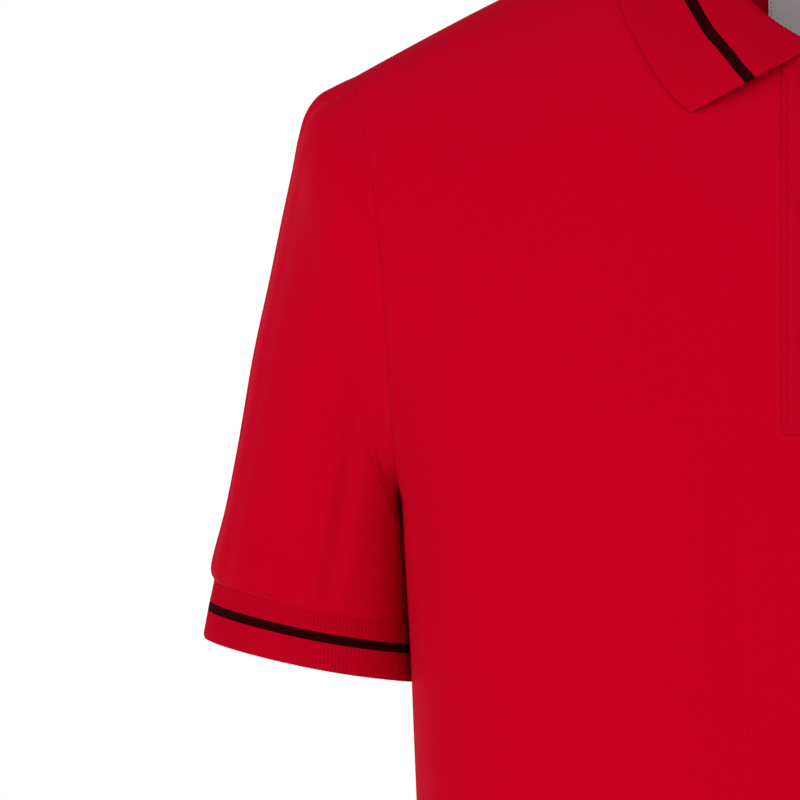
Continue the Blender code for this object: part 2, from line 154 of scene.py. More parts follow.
SHOULDER_RIDGE = (
    ShoulderPoint(NECK_HALF, 0.0),
    ShoulderPoint(0.1000, -0.0090),
    ShoulderPoint(0.1450, -0.0304),
    ShoulderPoint(0.1817, -0.0492),
    ShoulderPoint(0.2120, -0.0655),
)
BODY_SECTIONS = (
    BodySection(UNDERARM, 0.1900, 0.118, 0.112),
    BodySection(-0.300, 0.1880, 0.118, 0.110),
    BodySection(-0.345, 0.1855, 0.117, 0.107),
    BodySection(-0.396, 0.1830, 0.115, 0.104),
    BodySection(-0.450, 0.1815, 0.113, 0.102),
    BodySection(-0.515, 0.1820, 0.112, 0.103),
    BodySection(-0.580, 0.1840, 0.112, 0.107),
    BodySection(-0.645, 0.1865, 0.113, 0.109),
    BodySection(HEM, 0.1880, 0.114, 0.109),
)
ARMHOLE_EDGE = (
    ArmholePoint(0.00, 0.1900),
    ArmholePoint(0.25, 0.1925),
    ArmholePoint(0.50, 0.1955),
    ArmholePoint(0.75, 0.2015),
    ArmholePoint(1.00, 0.2120),
)
FOLDS_START = -0.36
FRONT_FOLDS = (
    DrapeFold(62, 9, -0.0025),
    DrapeFold(40, 9, 0.0035),
    DrapeFold(22, 7, -0.0025),
)
BACK_FOLDS = (
    DrapeFold(72, 9, 0.0035),
    DrapeFold(52, 9, -0.0040),
    DrapeFold(30, 8, 0.0040),
)


def table_value(table, key, column, at):
    """Read a column at a key between its rows, on a smooth curve through them."""
    keys = [getattr(row, key) for row in table]
    values = [getattr(row, column) for row in table]
    if keys[0] > keys[-1]:
        keys.reverse()
        values.reverse()
    at = min(max(at, keys[0]), keys[-1])
    last = len(keys) - 1
    cell = max(i for i in range(last) if keys[i] <= at)
    slopes = []
    for i in (cell, cell + 1):
        low = max(i - 1, 0)
        high = min(i + 1, last)
        slopes.append((values[high] - values[low]) / (keys[high] - keys[low]))
    span = keys[cell + 1] - keys[cell]
    t = (at - keys[cell]) / span
    start = values[cell] * (1 + 2 * t) * (1 - t) ** 2 + slopes[0] * span * t * (1 - t) ** 2
    end = values[cell + 1] * t * t * (3 - 2 * t) + slopes[1] * span * t * t * (t - 1)
    return start + end


def mix(low, high, t):
    return low + (high - low) * t


def mirrored(points):
    return points * np.array((-1, 1, 1))


def bell(distance, width):
    """1 at no distance, with a soft fall to 0 on both sides."""
    return np.exp(-((distance / width) ** 2))


def smooth_step(low, high, value):
    """0 below low and 1 above high, with a soft start and end between them."""
    t = np.clip((value - low) / (high - low), 0.0, 1.0)
    return t * t * (3 - 2 * t)


def shoulder_height(across):
    """Height of the shoulder ridge, carried on over the neck as a low crown."""
    if across <= NECK_HALF:
        return NECK_CROWN * (1 - (across / NECK_HALF) ** 2)
    return table_value(SHOULDER_RIDGE, "across", "height", across)


def neckline_height(across, side):
    drop = FRONT_NECK_DROP if side == FRONT else BACK_NECK_DROP
    return drop * (1 - (across / NECK_HALF) ** NECK_POWER)


def ridge_angle(across, height):
    """Angle over the shoulder, 0 on the ridge and a quarter turn at the underarm's level."""
    top = shoulder_height(across)
    return math.acos(min(1.0, 1 - (top - height) / (top - UNDERARM)))


def top_angle(across, side):
    if across >= NECK_HALF:
        return 0.0
    return ridge_angle(across, neckline_height(across, side))


def armhole_across(climb):
    return table_value(ARMHOLE_EDGE, "rise", "across", math.sin(HALF_PI * climb))


def row_fill(across, climb):
    """Share of the full depth at a place across a row, which the armhole's edge ends."""
    drop = 1 - math.sin(HALF_PI * climb)
    edge = armhole_across(climb)
    whole = (1 - (across * ARMHOLE_CUT / edge) ** ROUNDNESS) ** (1 / ROUNDNESS)
    return whole * math.sqrt(max(0.0, 1 - drop ** 4 * (across / edge) ** ARMPIT_SQUARENESS))


def ring_fill(share, height):
    """Share of the full depth round a level ring, squarer under the arms than at the waist."""
    plain = max(0.0, 1 - share ** ROUNDNESS) ** (1 / ROUNDNESS)
    armpit = (1 - (share * ARMHOLE_CUT) ** ROUNDNESS) ** (1 / ROUNDNESS)
    armpit *= math.sqrt(max(0.0, 1 - share ** ARMPIT_SQUARENESS))
    return mix(armpit, plain, smooth_step(0.0, UNDERARM - ARMPIT_END, UNDERARM - height))


def shoulder_point(side, across, angle, climb):
    """Point of the upper torso at an angle over the shoulder ridge."""
    x = abs(across)
    top = shoulder_height(x)
    section = BODY_SECTIONS[0]
    chest = section.front_depth if side == FRONT else section.back_depth
    height = top - (1 - math.cos(angle)) * (top - UNDERARM)
    depth = chest * math.sin(angle) * row_fill(x, climb)
    return Vector((across, side * (depth + PANEL_SET_BACK), height))


def panel_point(side, across, climb):
    """Point of the upper torso: climb 0 at the underarm's level, 1 at the neckline or shoulder."""
    end = top_angle(abs(across), side)
    angle = HALF_PI - (HALF_PI - end) * climb
    return shoulder_point(side, across, angle, climb)


def climb_at(side, height):
    """Climb of a height on the centre line."""
    return (HALF_PI - ridge_angle(0.0, height)) / (HALF_PI - top_angle(0.0, side))


def ring_point(side, share, height):
    """Point of the lower body at a share of the half width, from the centre line out."""
    half = table_value(BODY_SECTIONS, "height", "half_width", height)
    column = "front_depth" if side == FRONT else "back_depth"
    depth = table_value(BODY_SECTIONS, "height", column, height)
    if height < FOLDS_START:
        degrees = math.degrees(math.acos(share))
        folds = FRONT_FOLDS if side == FRONT else BACK_FOLDS
        push = sum(fold.depth * bell(degrees - fold.degrees, fold.spread) for fold in folds)
        depth += push * math.sin(HALF_PI * (FOLDS_START - height) / (FOLDS_START - HEM))
    return Vector((half * share, side * (depth * ring_fill(share, height) + PANEL_SET_BACK), height))


# The front's grid: columns from the centre line out, rows from the hem up, closer at seams and hem
SLOT_HALF = 0.0125
PLACKET_BOTTOM = -0.2335
NECK_PLACES = (0.030, 0.046, 0.060, 0.070, NECK_HALF)
SHOULDER_PLACES = (0.094, 0.117, 0.141, 0.164, 0.184, 0.200, 0.212)
RING_SHARES = (0.30, 0.42, 0.53, 0.63, 0.72, 0.80, 0.865, 0.915, 0.952, 0.978, 0.994, 1.0)
COLUMN_STEPS = (4, 12, 6, 6, 5, 5, 4, 4, 4, 3, 3, 2, 2)
NECK_CORNER = sum(COLUMN_STEPS[:6])
HEM_ROWS = (0.0, 0.0005, 0.0015, 0.003, 0.006, 0.010, 0.0125, 0.0142, 0.0155, 0.0168, 0.0185,
            0.0200, 0.0215, 0.0228, 0.0245, 0.028)
HEM_NEEDLES = (8, 12)
ROW_STEP = 0.004
CLIMB_STEP = 0.017


def fine_steps(places):
    """Places on a coarse list, with the columns between them filled in."""
    fine = []
    for low, high, steps in zip(places, places[1:], COLUMN_STEPS):
        fine += [mix(low, high, i / steps) for i in range(steps)]
    return fine + [places[-1]]


def climb_rows(side):
    """Climbs of the rows above the underarm, one of them at the placket's foot."""
    foot = climb_at(FRONT, PLACKET_BOTTOM)
    below = [foot * i / 4 for i in range(4)]
    count = round((1 - foot) / CLIMB_STEP)
    return below + [mix(foot, 1.0, i / count) for i in range(count + 1)]


def lower_rows():
    start = HEM + HEM_ROWS[-1]
    count = round((UNDERARM - start) / ROW_STEP)
    return [HEM + up for up in HEM_ROWS] + [mix(start, UNDERARM, i / count) for i in range(1, count)]


def panel_grid(side):
    """Points of a whole panel, rows from the hem up and columns from the wearer's right to left."""
    section = BODY_SECTIONS[0]
    low = fine_steps([0.0, SLOT_HALF] + [section.half_width * share for share in RING_SHARES])
    high = fine_steps([0.0, SLOT_HALF] + list(NECK_PLACES) + list(SHOULDER_PLACES))
    shares = [place / section.half_width for place in low]
    rows = [[ring_point(side, share, height) for share in shares] for height in lower_rows()]
    for climb in climb_rows(side):
        edge = mix(low[-1], high[-1], climb)
        pull = armhole_across(climb) - edge
        places = [mix(inner, outer, climb) for inner, outer in zip(low, high)]
        row = [panel_point(side, place + pull * (place / edge) ** 3, climb) for place in places]
        rows.append(row)
    half = np.array(rows)
    return np.concatenate((mirrored(half[:, :0:-1]), half), axis=1)


def grid_normals(points, around=False, flip=False):
    """Outward direction at each point of a grid."""
    if around:
        points = np.concatenate((points[:, -1:], points, points[:, :1]), axis=1)
    normals = np.cross(np.gradient(points, axis=1), np.gradient(points, axis=0))
    normals /= np.maximum(np.linalg.norm(normals, axis=2, keepdims=True), 1e-12)
    if around:
        normals = normals[:, 1:-1]
    return -normals if flip else normals


def raised(points, relief, around=False, flip=False):
    """A grid lifted off its own surface by a height at each point."""
    return points + grid_normals(points, around, flip) * relief[..., None]


def lengths_along(points, axis):
    """Distance of each point of a grid from the first one, along its row or column."""
    steps = np.linalg.norm(np.diff(points, axis=axis), axis=2)
    start = np.zeros_like(steps[:, :1] if axis == 1 else steps[:1])
    return np.cumsum(np.concatenate((start, steps), axis=axis), axis=axis)


def crease_relief(creases, across, up):
    """Height of the creases above the plain cloth."""
    relief = np.zeros_like(across)
    for crease in creases:
        run = np.array((crease.to_across - crease.from_across, crease.to_up - crease.from_up))
        length = np.linalg.norm(run)
        run /= length
        aside_x = across - crease.from_across
        aside_y = up - crease.from_up
        t = np.clip((aside_x * run[0] + aside_y * run[1]) / length, 0.0, 1.0)
        arch = 4 * t * (1 - t)
        offset = aside_x * run[1] - aside_y * run[0] - crease.bow * arch
        relief += crease.depth * arch ** 0.8 * bell(offset, crease.width)
    return relief


def unevenness(points, size, height, seed):
    """Slow random waves, so that no stretch of cloth lies quite true."""
    shift = Vector((seed * 7.3, seed * 3.1, seed * 5.7))
    flat = points.reshape(-1, 3)
    waves = [noise.noise(Vector(point) / size + shift) for point in flat]
    return np.array(waves).reshape(points.shape[:2]) * height


def seam_dip(distance):
    """Cloth pulled down into a seam, by its distance from it."""
    return -SEAM_DIP * bell(distance, SEAM_ROLL)


def edge_roll(distance, drop, reach):
    """A fold or a finished edge that rounds off, by the distance from it."""
    return -drop * (1 - smooth_step(0.0, reach, distance)) ** 2


SEAM_DIP = 0.0001
SEAM_ROLL = 0.0030
HEM_GROOVE = 0.00035
HEM_GROOVE_WIDTH = 0.0013
HEM_ROLL = 0.0006
HEM_ROLL_REACH = 0.0016
HEM_PUCKER = 0.0006
HEM_PUCKER_SIZE = 0.007
HEM_PUCKER_REACH = 0.009
NECK_EASE_WIDTH = 0.011
NECK_EASE_START = (0.004, 0.025)
NECK_EASE_ROUNDS = 10
WAVE_SIZE = 0.075
WAVE_HEIGHT = 0.0011
COLLAR_COVERS = (0.118, 0.150)
PLACKET_COVERS = (0.018, 0.040)
PLACKET_FOOT_COVERS = (0.004, 0.028)
SEAM_CALM = 0.016

FRONT_CREASES = (
    Crease(-0.190, -0.085, -0.172, -0.222, 0.013, -0.0022, -0.007),
    Crease(-0.158, -0.100, -0.150, -0.180, 0.019, 0.0010, 0.004),
    Crease(-0.186, -0.250, -0.098, -0.158, 0.010, -0.0015, 0.010),
    Crease(-0.188, -0.278, -0.070, -0.236, 0.012, -0.0012, 0.008),
    Crease(-0.150, -0.318, -0.143, -0.560, 0.015, -0.0014, 0.006),
    Crease(-0.102, -0.300, -0.090, -0.520, 0.013, -0.0010, -0.005),
    Crease(-0.034, -0.238, -0.028, -0.372, 0.011, -0.0008, 0.003),
    Crease(0.006, -0.246, 0.014, -0.450, 0.014, 0.0009, 0.004),
    Crease(0.192, -0.092, 0.176, -0.214, 0.012, -0.0020, 0.006),
    Crease(0.187, -0.246, 0.112, -0.170, 0.011, -0.0016, -0.009),
    Crease(0.188, -0.288, 0.082, -0.262, 0.012, -0.0011, -0.006),
    Crease(0.142, -0.330, 0.150, -0.610, 0.016, -0.0015, -0.005),
    Crease(0.095, -0.290, 0.078, -0.480, 0.013, -0.0009, 0.006),
    Crease(0.046, -0.300, 0.060, -0.640, 0.015, 0.0009, 0.005),
)


def panel_relief(side, points, creases, seed):
    """Height of a panel's creases, waves, seams and hem above its plain surface."""
    across, up = points[..., 0], points[..., 2]
    along_row = lengths_along(points, 1)
    from_side = np.minimum(along_row, along_row[:, -1:] - along_row)
    along_column = lengths_along(points, 0)
    from_top = along_column[-1:] - along_column
    middle = points.shape[1] // 2
    beside_neck = np.abs(np.arange(points.shape[1]) - middle) < NECK_CORNER
    corners = (points[-1, middle - NECK_CORNER], points[-1, middle + NECK_CORNER])
    from_corner = np.minimum(*(np.linalg.norm(points - corner, axis=2) for corner in corners))
    from_shoulder = np.where(beside_neck[None, :], from_corner, from_top)
    from_seam = np.minimum(from_side, from_shoulder)
    from_neck = np.linalg.norm(points, axis=2)
    calm = smooth_step(0.0, SEAM_CALM, from_seam) * smooth_step(*COLLAR_COVERS, from_neck)
    if side == FRONT:
        calm *= placket_calm(points)
    waves = unevenness(points, WAVE_SIZE, WAVE_HEIGHT, seed)
    relief = calm * (crease_relief(creases, across, up) + waves)
    return relief + seam_dip(from_seam) + hem_relief(points, from_side)


def hem_relief(points, from_side):
    """Two needle grooves above the hem's fold, with the cloth puckered along them."""
    above = points[..., 2] - HEM
    relief = np.zeros_like(above)
    for row in HEM_NEEDLES:
        relief -= HEM_GROOVE * bell(above - HEM_ROWS[row], HEM_GROOVE_WIDTH)
    pucker = [noise.noise(Vector((*place / HEM_PUCKER_SIZE, 4.5))) for place in points[0][:, :2]]
    near = bell(above - HEM_ROWS[HEM_NEEDLES[0]], HEM_PUCKER_REACH)
    relief += HEM_PUCKER * np.array(pucker)[None, :] * near * smooth_step(0.0, 0.01, from_side)
    return relief + edge_roll(above, HEM_ROLL, HEM_ROLL_REACH)


def placket_calm(points):
    """0 where the placket lies and 1 away from it."""
    beside = smooth_step(*PLACKET_COVERS, np.abs(points[..., 0]))
    below = smooth_step(*PLACKET_FOOT_COVERS, PLACKET_BOTTOM - points[..., 2])
    return np.maximum(beside, below)


def eased(points):
    """The grid with the bend below each neck corner evened out, and its edges left as they are."""
    from_top = lengths_along(points, 0)[-1:] - lengths_along(points, 0)
    near = bell(np.abs(points[..., 0]) - NECK_HALF, NECK_EASE_WIDTH)
    near *= smooth_step(*NECK_EASE_START, from_top)
    for _ in range(NECK_EASE_ROUNDS):
        even = (points[:-2, 1:-1] + points[2:, 1:-1] + points[1:-1, :-2] + points[1:-1, 2:]) / 4
        points = points.copy()
        points[1:-1, 1:-1] += 0.5 * near[1:-1, 1:-1, None] * (even - points[1:-1, 1:-1])
    return points


def shape_panel(side, creases, seed):
    """A panel's finished grid of points, its outward directions and its cut's coordinates."""
    plain = eased(panel_grid(side))
    flip = side == BACK
    points = raised(plain, panel_relief(side, plain, creases, seed), flip=flip)
    return points, grid_normals(points, flip=flip), cut_of_panel(plain)


def cut_of_panel(points):
    """Coordinates on the flat cut, in metres: across from the centre line, up from the hem."""
    centre = points.shape[1] // 2
    across = lengths_along(points, 1)
    return np.dstack((across - across[:, centre:centre + 1], lengths_along(points, 0)))


def cloth_mesh(name, points, cut, around=False, flip=False, skip=()):
    """Mesh of a grid of points, with its cut's coordinates in metres as the UV map named cut."""
    rows, columns = points.shape[:2]
    spans = columns if around else columns - 1
    faces = []
    places = []
    for j in range(rows - 1):
        for i in range(spans):
            if (j, i) in skip:
                continue
            corners = [(j, i), (j, i + 1), (j + 1, i + 1), (j + 1, i)]
            if flip:
                corners.reverse()
            faces.append([row * columns + column % columns for row, column in corners])
            places += [cut[row, column] for row, column in corners]
    mesh = bpy.data.meshes.new(name)
    mesh.from_pydata(points.reshape(-1, 3).tolist(), [], faces)
    layer = mesh.uv_layers.new(name="cut")
    layer.data.foreach_set("uv", np.array(places, dtype=np.float32).ravel())
    work = bmesh.new()
    work.from_mesh(mesh)
    loose = [vert for vert in work.verts if not vert.link_faces]
    bmesh.ops.delete(work, geom=loose, context="VERTS")
    for edge in work.edges:
        edge.smooth = not edge.is_boundary
    work.to_mesh(mesh)
    work.free()
    mesh.shade_smooth()
    return mesh


def new_piece(name, mesh, material):
    piece = bpy.data.objects.new(name, mesh)
    mesh.materials.clear()
    mesh.materials.append(material)
    bpy.context.scene.collection.objects.link(piece)
    return piece


def give_wall(piece, thickness):
    """Give an open surface its cloth, on the inner side of its faces."""
    wall = piece.modifiers.new("Cloth", "SOLIDIFY")
    wall.thickness = thickness
    wall.offset = -1.0
    wall.use_rim = True


def linear(hex_code):
    """Linear colour of an sRGB hex code."""
    channels = []
    for start in (0, 2, 4):
        value = int(hex_code[start:start + 2], 16) / 255
        channels.append(value / 12.92 if value <= 0.04045 else ((value + 0.055) / 1.055) ** 2.4)
    return (*channels, 1.0)


def new_material(name, finish):
    """A new material whose shader holds the named values, with its tree and its shader."""
    material = bpy.data.materials.new(name)
    material.use_nodes = True
    tree = material.node_tree
    shader = tree.nodes["Principled BSDF"]
    for label, value in finish.items():
        shader.inputs[label].default_value = value
    return material, tree, shader


def add_node(tree, kind, settings=None, links=None):
    """Add a node; settings sets its properties and socket values, links joins its inputs."""
    node = tree.nodes.new(kind)
    for key, value in (settings or {}).items():
        if isinstance(key, str) and hasattr(node, key):
            setattr(node, key, value)
        else:
            node.inputs[key].default_value = value
    for key, socket in (links or {}).items():
        tree.links.new(socket, node.inputs[key])
    return node


def math_node(tree, operation, *values):
    """Arithmetic on sockets and numbers."""
    numbers = {i: value for i, value in enumerate(values) if isinstance(value, (int, float))}
    sockets = {i: value for i, value in enumerate(values) if i not in numbers}
    return add_node(tree, "ShaderNodeMath", {"operation": operation, **numbers}, sockets).outputs[0]


def cut_place(tree):
    """The place on the piece's own flat cut, whole and in its parts across and up."""
    cut = add_node(tree, "ShaderNodeUVMap", {"uv_map": "cut"}).outputs[0]
    return cut, add_node(tree, "ShaderNodeSeparateXYZ", links={0: cut}).outputs


def patches(tree, place, scale, detail):
    """Soft random patches."""
    node = add_node(tree, "ShaderNodeTexNoise", {"Scale": scale, "Detail": detail}, {"Vector": place})
    return node.outputs[0]


def emboss(tree, shader, height, strength, depth):
    """Let the light catch a height that is too fine for the mesh."""
    bump = add_node(tree, "ShaderNodeBump", {"Strength": strength, "Distance": depth}, {"Height": height})
    tree.links.new(bump.outputs[0], shader.inputs["Normal"])


def two_tone(tree, value, *stops):
    """A blend of two colours, each given with the value at which it stands alone."""
    ramp = add_node(tree, "ShaderNodeValToRGB", links={0: value})
    for element, (position, colour) in zip(ramp.color_ramp.elements, stops):
        element.position = position
        element.color = colour
    return ramp.outputs[0]


def cotton_finish(sheen):
    """Matt dyed cotton: hardly any gloss, and a short red nap that lights up at grazing angles."""
    return {
        "Roughness": 0.88, "IOR": 1.5, "Specular IOR Level": 0.04, "Specular Tint": linear("e8203c"),
        "Sheen Weight": sheen, "Sheen Roughness": 0.35, "Sheen Tint": linear("e0283f")}


PIQUE_CELL = (0.0015, 0.0013)
PIQUE_DEPTH = 0.00016
FUZZ_SIZE = 0.0004


def pique(name, hex_code, valley_shade_and_patch_hex_code, sheen):
    """Cotton pique, piece dyed: a matt cloth whose raised diamonds break the light into fine grain, with
    painted shade that gives their valleys a deeper red.

    A cell is 1.5 mm wide and 1.3 mm high, which is the coarse end of what polo shirts are knitted in.
    """
    material, tree, shader = new_material(name, cotton_finish(sheen))
    cut, parts = cut_place(tree)
    waves = []
    for socket, size in zip(parts, PIQUE_CELL):
        turns = math_node(tree, "MULTIPLY", socket, 2 * math.pi / size)
        waves.append(math_node(tree, "COSINE", turns))
    diamonds = math_node(tree, "ADD", *waves)
    height = math_node(tree, "MULTIPLY_ADD", diamonds, 0.25, 0.5)
    fuzz = patches(tree, cut, 1 / FUZZ_SIZE, 2.0)
    emboss(tree, shader, math_node(tree, "MULTIPLY_ADD", fuzz, 0.25, height), 0.6, PIQUE_DEPTH)
    worn = math_node(tree, "MULTIPLY_ADD", patches(tree, cut, 9.0, 3.0), 0.3, -0.15)
    # Painted shade: the diamonds' low places take the deeper red, and soft random patches of tone shift it a
    # little.
    valley_shade_and_patch_tone = math_node(tree, "ADD", height, worn)
    colour = two_tone(tree, valley_shade_and_patch_tone, (0.05, linear(valley_shade_and_patch_hex_code)), (0.55, linear(hex_code)))
    tree.links.new(colour, shader.inputs["Base Color"])
    return material


# The second red is painted shade for the knit's valleys, and also the dark end of soft random patches of
# tone.
BODY_RED = "c50224"
BODY_RED_VALLEY_SHADE_AND_PATCH = "bd0222"
body_pique = pique("body cotton pique", BODY_RED, BODY_RED_VALLEY_SHADE_AND_PATCH, sheen=0.10)

front_points, front_normals, front_cut = shape_panel(FRONT, FRONT_CREASES, seed=1)
front_centre = front_points.shape[1] // 2
slot_foot = len(lower_rows()) + 4
slot_cells = {
    (j, i)
    for j in range(slot_foot, front_points.shape[0] - 1)
    for i in range(front_centre - COLUMN_STEPS[0], front_centre + COLUMN_STEPS[0])
}
front_mesh = cloth_mesh("front_panel", front_points, front_cut, skip=slot_cells)
front_panel = new_piece("front_panel", front_mesh, body_pique)
give_wall(front_panel, PIQUE_THICKNESS)
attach(front_panel, "root")
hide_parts("front_body")


# Back panel
# The same pique in one piece from the neck to the hem, with a shallow neckline. It carries the
# blank label inside its neck.

BACK_CREASES = (
    Crease(-0.186, -0.245, -0.090, -0.150, 0.012, -0.0022, 0.010),
    Crease(-0.188, -0.276, -0.060, -0.228, 0.012, -0.0016, 0.009),
    Crease(-0.192, -0.095, -0.174, -0.220, 0.013, -0.0022, -0.006),
    Crease(-0.120, -0.110, -0.045, -0.085, 0.013, -0.0012, -0.005),
    Crease(-0.062, -0.200, -0.070, -0.420, 0.016, -0.0016, 0.007),
    Crease(-0.020, -0.300, -0.036, -0.600, 0.018, 0.0016, -0.006),
    Crease(-0.135, -0.330, -0.118, -0.640, 0.016, -0.0018, 0.006),
    Crease(0.012, -0.240, 0.030, -0.480, 0.015, -0.0016, 0.006),
    Crease(0.078, -0.220, 0.066, -0.520, 0.017, 0.0016, -0.008),
    Crease(0.128, -0.340, 0.140, -0.620, 0.015, -0.0016, 0.004),
    Crease(0.187, -0.250, 0.100, -0.168, 0.011, -0.0020, -0.010),
    Crease(0.188, -0.290, 0.074, -0.250, 0.013, -0.0017, -0.007),
    Crease(0.191, -0.100, 0.176, -0.210, 0.012, -0.0020, 0.007),
    Crease(0.115, -0.120, 0.050, -0.092, 0.012, -0.0011, 0.006),
)

back_points, back_normals, back_cut = shape_panel(BACK, BACK_CREASES, seed=2)
back_panel = new_piece("back_panel", cloth_mesh("back_panel", back_points, back_cut, flip=True), body_pique)
give_wall(back_panel, PIQUE_THICKNESS)
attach(back_panel, "root")
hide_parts("back_body")


# Sleeves
# Two short set-in sleeves of the same pique, each one piece sewn into its armhole, closed by a seam
# under the arm, and eased a little where it meets the cuff.


class SleeveRing(NamedTuple):
    """One ring of the left sleeve: its outer and inner ends and its half depth, front to back."""

    step: float
    outer_x: float
    outer_z: float
    inner_x: float
    inner_z: float
    half_depth: float
    centre_y: float
    front_dip: float


SLEEVE_RINGS = (
    SleeveRing(0, 0.2120, -0.0655, 0.1900, -0.2620, 0.0605, 0.000, 0.000),
    SleeveRing(1, 0.2212, -0.0693, 0.1908, -0.2655, 0.0612, 0.003, 0.000),
    SleeveRing(2, 0.2292, -0.0735, 0.1905, -0.2700, 0.0615, 0.007, 0.003),
    SleeveRing(3, 0.2352, -0.0815, 0.1902, -0.2745, 0.0615, 0.011, 0.006),
    SleeveRing(4, 0.2386, -0.0930, 0.1899, -0.2790, 0.0612, 0.014, 0.010),
    SleeveRing(5, 0.2420, -0.1100, 0.1896, -0.2835, 0.0606, 0.017, 0.016),
    SleeveRing(6, 0.2500, -0.1450, 0.1892, -0.2900, 0.0595, 0.020, 0.024),
    SleeveRing(7, 0.2597, -0.1910, 0.1888, -0.2975, 0.0585, 0.022, 0.033),
    SleeveRing(8, 0.2683, -0.2370, 0.1884, -0.3045, 0.0575, 0.023, 0.042),
    SleeveRing(9, 0.2739, -0.2640, 0.1879, -0.3090, 0.0572, 0.024, 0.047),
    SleeveRing(10, 0.2799, -0.2890, 0.1875, -0.3125, 0.0576, 0.024, 0.050),
    SleeveRing(11, 0.2785, -0.2970, 0.1877, -0.3170, 0.0560, 0.024, 0.050),
)
ARMHOLE_BLEND_RINGS = 5
SLEEVE_STEP = 0.16
SLEEVE_WAVE_SIZE = 0.05
SLEEVE_WAVE = 0.0008
SLEEVE_SEAM_GAP = 0.00005
CUFF_SEAM_CALM = 0.006
SLEEVE_SETTLE = 0.0010
SLEEVE_LEAN = 0.0058
CUFF_LEAN = 0.0046
LEAN_DEGREES = 137
LEAN_SPREAD = 28

# Across is the angle from the outer edge over the front, in degrees, and up is the step down the rings
RIGHT_SLEEVE_CREASES = (
    Crease(104, 3.4, 110, 9.4, 13, -0.0017, -3),
    Crease(72, 4.0, 66, 10.4, 16, 0.0010, 4),
    Crease(20, 3.6, 10, 7.4, 9, -0.0018, -3),
    Crease(34, 6.4, 16, 10.2, 10, 0.0010, 2),
    Crease(40, 9.9, 84, 9.9, 0.45, 0.0012, 0.2),
    Crease(215, 3.0, 238, 9.4, 12, -0.0024, 5),
    Crease(262, 4.4, 250, 10.2, 12, 0.0018, -4),
    Crease(300, 3.0, 292, 8.6, 12, -0.0018, 5),
    Crease(332, 5.2, 322, 10.0, 10, 0.0013, -3),
)
LEFT_SLEEVE_CREASES = (
    Crease(98, 3.8, 106, 9.2, 12, -0.0016, 4),
    Crease(66, 3.4, 72, 9.6, 14, 0.0011, -3),
    Crease(24, 4.2, 12, 8.4, 9, -0.0016, 3),
    Crease(220, 3.4, 232, 9.0, 11, -0.0024, -4),
    Crease(256, 3.6, 262, 9.8, 13, 0.0017, 4),
    Crease(304, 4.0, 288, 9.4, 11, -0.0019, -4),
    Crease(338, 4.8, 330, 9.2, 10, 0.0012, 3),
)


def armhole_loop():
    """Points of the left armhole from the shoulder down the front and up the back."""
    rows = climb_rows(FRONT)
    front = [panel_point(FRONT, armhole_across(climb), climb) for climb in reversed(rows)]
    back = [panel_point(BACK, armhole_across(climb), climb) for climb in rows]
    loop = front + back[1:-1]
    for point in (loop[0], loop[len(rows) - 1]):
        point.y = 0.0
    return np.array(loop) + np.array((SLEEVE_SEAM_GAP, 0, 0))


def run_along(line):
    """Distance of each point of a line from its first one."""
    return np.concatenate(((0.0,), np.cumsum(np.linalg.norm(np.diff(line, axis=0), axis=1))))


def loop_angles(loop):
    """Angle of each armhole point round the sleeve, by its share of the loop's length."""
    half = len(loop) // 2
    down = run_along(loop[:half + 1])
    up = run_along(np.concatenate((loop[half:], loop[:1])))
    return np.concatenate((math.pi * down[:-1] / down[-1], math.pi * (1 + up[:-1] / up[-1])))


def ring_points(ring, angles):
    outer = np.array((ring.outer_x, ring.centre_y, ring.outer_z))
    inner = np.array((ring.inner_x, ring.centre_y, ring.inner_z))
    depth = np.array((0, ring.half_depth, ring.half_depth * ring.front_dip))
    reach = (outer - inner) / 2
    return (outer + inner) / 2 + np.outer(np.cos(angles), reach) - np.outer(np.sin(angles), depth)


def ring_between(rings, step):
    """A ring at a step between two rows of the table."""
    columns = SleeveRing._fields[1:]
    return SleeveRing(step, *(table_value(rings, "step", column, step) for column in columns))


def sleeve_grid():
    """Points of the left sleeve, rows from the armhole down, and the rows' steps."""
    loop = armhole_loop()
    angles = loop_angles(loop)
    first = ring_points(SLEEVE_RINGS[0], angles)
    last = SLEEVE_RINGS[-1].step
    steps = np.linspace(0, last, round(last / SLEEVE_STEP) + 1)
    rows = []
    for step in steps:
        pull = max(0.0, 1 - step / ARMHOLE_BLEND_RINGS) ** 2
        rows.append(ring_points(ring_between(SLEEVE_RINGS, step), angles) + (loop - first) * pull)
    return np.array(rows), steps, angles


def cut_of_tube(points):
    """Coordinates on a tube's flat cut, in metres, with one more column than points."""
    closed = np.concatenate((points, points[:, :1]), axis=1)
    return np.dstack((lengths_along(closed, 1), -lengths_along(closed, 0)))


def settle(degrees):
    """How far the side next to the body sinks towards it, by the angle round the sleeve."""
    return SLEEVE_SETTLE * np.clip(-np.cos(np.radians(degrees)), 0, 1) ** 4


def lean(degrees):
    """Share of the fullness that lies against the chest, between the sleeve's front and the body."""
    return bell(degrees - LEAN_DEGREES, LEAN_SPREAD)


